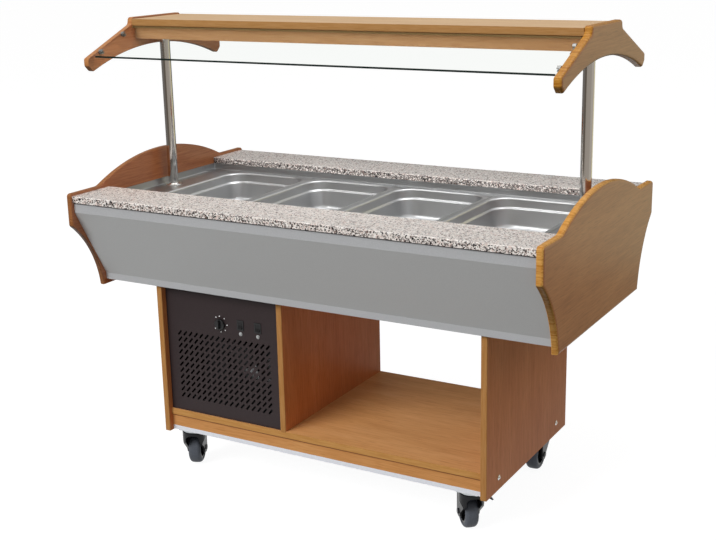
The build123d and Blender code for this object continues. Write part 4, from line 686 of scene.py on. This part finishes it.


# Dark sealant under the stones' outer edges, which also stands for the shadow gap there (part painted shade),
# # and a strip of painted shadow under the shelf's edges in front of the rails

STRIP_HALF = 0.7 * MM
STRIP_CORNER = STRIP_HALF / 2
STRIP_CLEARANCE = 0.1 * MM
SEAL_HEIGHT = 3.2 * MM
SEAL_INSET = 1 * MM
RAIL_GAP = 0.2 * MM
RAIL_STRIP_HEIGHT = 3.8 * MM
RAIL_STRIP_INSET = 0.5 * MM
seal_y = TUB_HIGH[1] + STRIP_CLEARANCE + STRIP_HALF
seal_top = UPSTAND_TOP - STRIP_CLEARANCE
# The seals are dark sealant and also painted shade in the gap under the stones' edges.
seals = [
    flat_bar(TUB_HIGH[0] - SEAL_INSET, STRIP_HALF, STRIP_CORNER, (seal_top - SEAL_HEIGHT, seal_top), (0.0, y))
    for y in (-seal_y, seal_y)
]
piece("stone_seals", seals, SEALANT_AND_SHADE, "cabinet")
RAIL_LOW, RAIL_HIGH = np.array(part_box("plinth_rails"))
strip_top = RAIL_HIGH[2] - STRIP_CLEARANCE
strip_heights = (strip_top - RAIL_STRIP_HEIGHT, strip_top)
# Painted shadow: a dark strip under the shelf's nose in front of each rail.
strips = [
    flat_bar(RAIL_HIGH[0] - RAIL_STRIP_INSET, STRIP_HALF, STRIP_CORNER, strip_heights, (0.0, y))
    for y in (RAIL_LOW[1] - RAIL_GAP - STRIP_HALF, RAIL_HIGH[1] + RAIL_GAP + STRIP_HALF)
]
piece("shelf_shadow_strips", strips, PAINTED_SHADOW_STRIP, "cabinet")


# Printed marks round the dial

GRILLE_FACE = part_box("unit_front_grille")[0][1]
DIAL = (-0.335, 0.5117)
MARK_RING = 25 * MM
MARK_RADII = (2.0 * MM, 1.9 * MM, 1.2 * MM)
MARK_HEIGHTS = (0.0, 0.15 * MM, 0.22 * MM)
MARK_ANGLES = (-37, -4, 39, 90, 134, 176, 230)
marks = []
for turn in np.radians(MARK_ANGLES):
    mark = (DIAL[0] + MARK_RING * math.sin(turn), GRILLE_FACE, DIAL[1] + MARK_RING * math.cos(turn))
    marks.append(shell(turned(list(zip(MARK_RADII, MARK_HEIGHTS)), mark, (0, -1, 0), 12), "pole"))
piece("dial_marks", marks, MARK_INK, "cabinet")


# Studio: pale floor, soft lights, and the camera at the photograph's place

LIGHT_AIM = (0.0, 0.0, 0.7)


def studio_light(name, place, size, power):
    """A square soft light that points at the middle of the trolley and isn't seen itself."""
    lamp = bpy.data.lights.new(name, "AREA")
    lamp.shape = "SQUARE"
    lamp.size = size
    lamp.energy = power
    made = bpy.data.objects.new(name, lamp)
    away = np.subtract(place, LIGHT_AIM)
    pitch = math.atan2(math.hypot(away[0], away[1]), away[2])
    made.location = place
    made.rotation_euler = (pitch, 0.0, math.atan2(away[0], -away[1]))
    made.visible_camera = False
    bpy.context.scene.collection.objects.link(made)
    return made


def stage_card(name, corners, made):
    """A flat four-cornered surface of the studio."""
    mesh = bpy.data.meshes.new(name)
    mesh.from_pydata(corners, [], [[0, 1, 2, 3]])
    mesh.materials.append(made)
    card = bpy.data.objects.new(name, mesh)
    bpy.context.scene.collection.objects.link(card)
    return card


def level_corners(low, high, height):
    """The corners of a level rectangle between two points, anticlockwise from above."""
    return [(low[0], low[1], height), (high[0], low[1], height), (high[0], high[1], height),
            (low[0], high[1], height)]


def reflected_card(name, corners, tone, strength):
    """A card of the studio that only polished surfaces show."""
    cloth, tree, _, _ = begin(name)
    glow = node(tree, "Emission", {"Color": linear(tone), "Strength": strength})
    node(tree, "OutputMaterial", {"Surface": glow.outputs[0]})
    card = stage_card(name, corners, cloth)
    card.visible_camera = False
    card.visible_diffuse = False
    card.visible_shadow = False
    card.visible_transmission = False


# Seamless floor: it is seen as paper white with the trolley's soft shadow, and gives the light of a mid grey.
FLOOR_HALF = 80.0
FLOOR_GLOW = 0.93
floor_paper, paper, _, _ = begin("white_paper")
path = node(paper, "LightPath").outputs
seen = node(paper, "Math", {0: path["Is Camera Ray"], 1: path["Is Glossy Ray"]}, operation="MAXIMUM")
seen = node(paper, "Math", {0: seen.outputs[0], 1: path["Is Transmission Ray"]}, operation="MAXIMUM")
tone = node(paper, "Mix", {0: seen.outputs[0], 6: linear("929290"), 7: linear("7C7C7C")}, data_type="RGBA")
lit = node(paper, "BsdfDiffuse", {"Color": tone.outputs[2]})
glow = node(paper, "Math", {0: seen.outputs[0], 1: FLOOR_GLOW}, operation="MULTIPLY")
plain = node(paper, "Emission", {"Strength": glow.outputs[0]})
both = node(paper, "AddShader", {0: lit.outputs[0], 1: plain.outputs[0]})
node(paper, "OutputMaterial", {"Surface": both.outputs[0]})
stage_card("floor", level_corners((-FLOOR_HALF,) * 2, (FLOOR_HALF,) * 2, 0.0), floor_paper)

# White backdrop all round, a little darker overhead in reflections, and a low even light on matt surfaces.
BACKDROP_ON_MATT = 0.3
world = bpy.data.worlds.new("studio")
bpy.context.scene.world = world
world.use_nodes = True
sky = world.node_tree
sky.nodes.clear()
path = node(sky, "LightPath").outputs
direction = node(sky, "SeparateXYZ", {0: node(sky, "TexCoord").outputs["Generated"]})
overhead = node(sky, "MapRange", {
    "Value": direction.outputs[2], "From Min": 0.15, "From Max": 0.6, "To Min": 1.0, "To Max": 0.95})
mirrored = node(sky, "Math", {0: path["Is Glossy Ray"], 1: path["Is Transmission Ray"]}, operation="MAXIMUM")
level = node(sky, "Mix", {0: mirrored.outputs[0], 2: BACKDROP_ON_MATT, 3: overhead.outputs[0]})
level = node(sky, "Mix", {0: path["Is Camera Ray"], 2: level.outputs[0], 3: 1.0})
backdrop = node(sky, "Background", {"Color": linear("FFFFFF"), "Strength": level.outputs[0]})
node(sky, "OutputWorld", {"Surface": backdrop.outputs[0]})

# Flags round the trolley, dark at the back and the left and grey at the front, with a warm bright one behind
# the right end; a tan card on the floor beside that end; and a lamp over the right half of the well.
CARD_FOOT = 0.02
FLAG_LINE = (
    (3.0, 2.6), (0.9, 2.6), (-1.7, 2.6), (-1.7, -1.5), (-0.2, -2.6), (1.5, -2.6), (3.0, -0.6), (3.0, 2.6))
FLAG_TONES = ("ECE2B8", "6A6A6A", "7A7674", "6A625A", "A9A199", "ACA49C", "BEB7AF")
FLAG_TOPS = (2.4, 2.4, 2.1, 2.4, 2.4, 1.3, 1.3)
for start, end, tone, top in zip(FLAG_LINE, FLAG_LINE[1:], FLAG_TONES, FLAG_TOPS):
    reflected_card("flag", [(*start, CARD_FOOT), (*end, CARD_FOOT), (*end, top), (*start, top)], tone, 1.0)
reflected_card("tan_floor", level_corners((0.85, -1.2), (3.0, 2.6), CARD_FOOT), "B2A07A", 1.0)
reflected_card("overhead_lamp", level_corners((0.1, -0.6), (1.7, 1.0), 3.2), "FFFFFF", 5.0)

# The key light is brighter on matt surfaces than in reflections.
KEY_PLACE = (-2.56, -6.2, 5.2)
KEY_SIZE = 4.0
studio_light("key_light", KEY_PLACE, KEY_SIZE, 200)
studio_light("key_light_matt", KEY_PLACE, KEY_SIZE, 290).visible_glossy = False
studio_light("top_light", (0.2, -0.6, 4.4), 2.6, 22)
studio_light("fill_light", (4.0, -1.2, 3.4), 2.5, 26).visible_glossy = False

CAMERA_PLACE = (1.80965, -3.14072, 1.6534)
YAW, PITCH, ROLL = (math.radians(angle) for angle in (30.12, -15.46, -1.25))
FOCAL_LENGTH_MM = 61.42
SENSOR_WIDTH_MM = 36.0
ahead = np.array([-math.sin(YAW) * math.cos(PITCH), math.cos(YAW) * math.cos(PITCH), math.sin(PITCH)])
right = np.array([math.cos(YAW), math.sin(YAW), 0.0])
upward = np.cross(right, ahead)
camera_right = math.cos(ROLL) * right + math.sin(ROLL) * upward
camera_up = -math.sin(ROLL) * right + math.cos(ROLL) * upward
lens = bpy.data.cameras.new("camera")
lens.lens = FOCAL_LENGTH_MM
lens.sensor_width = SENSOR_WIDTH_MM
camera = bpy.data.objects.new("camera", lens)
placing = np.eye(4)
placing[:3, :3] = np.column_stack([camera_right, camera_up, -ahead])
placing[:3, 3] = CAMERA_PLACE
camera.matrix_world = mathutils.Matrix(placing.tolist())
bpy.context.scene.collection.objects.link(camera)
bpy.context.scene.camera = camera
bpy.context.scene.view_settings.view_transform = "Standard"
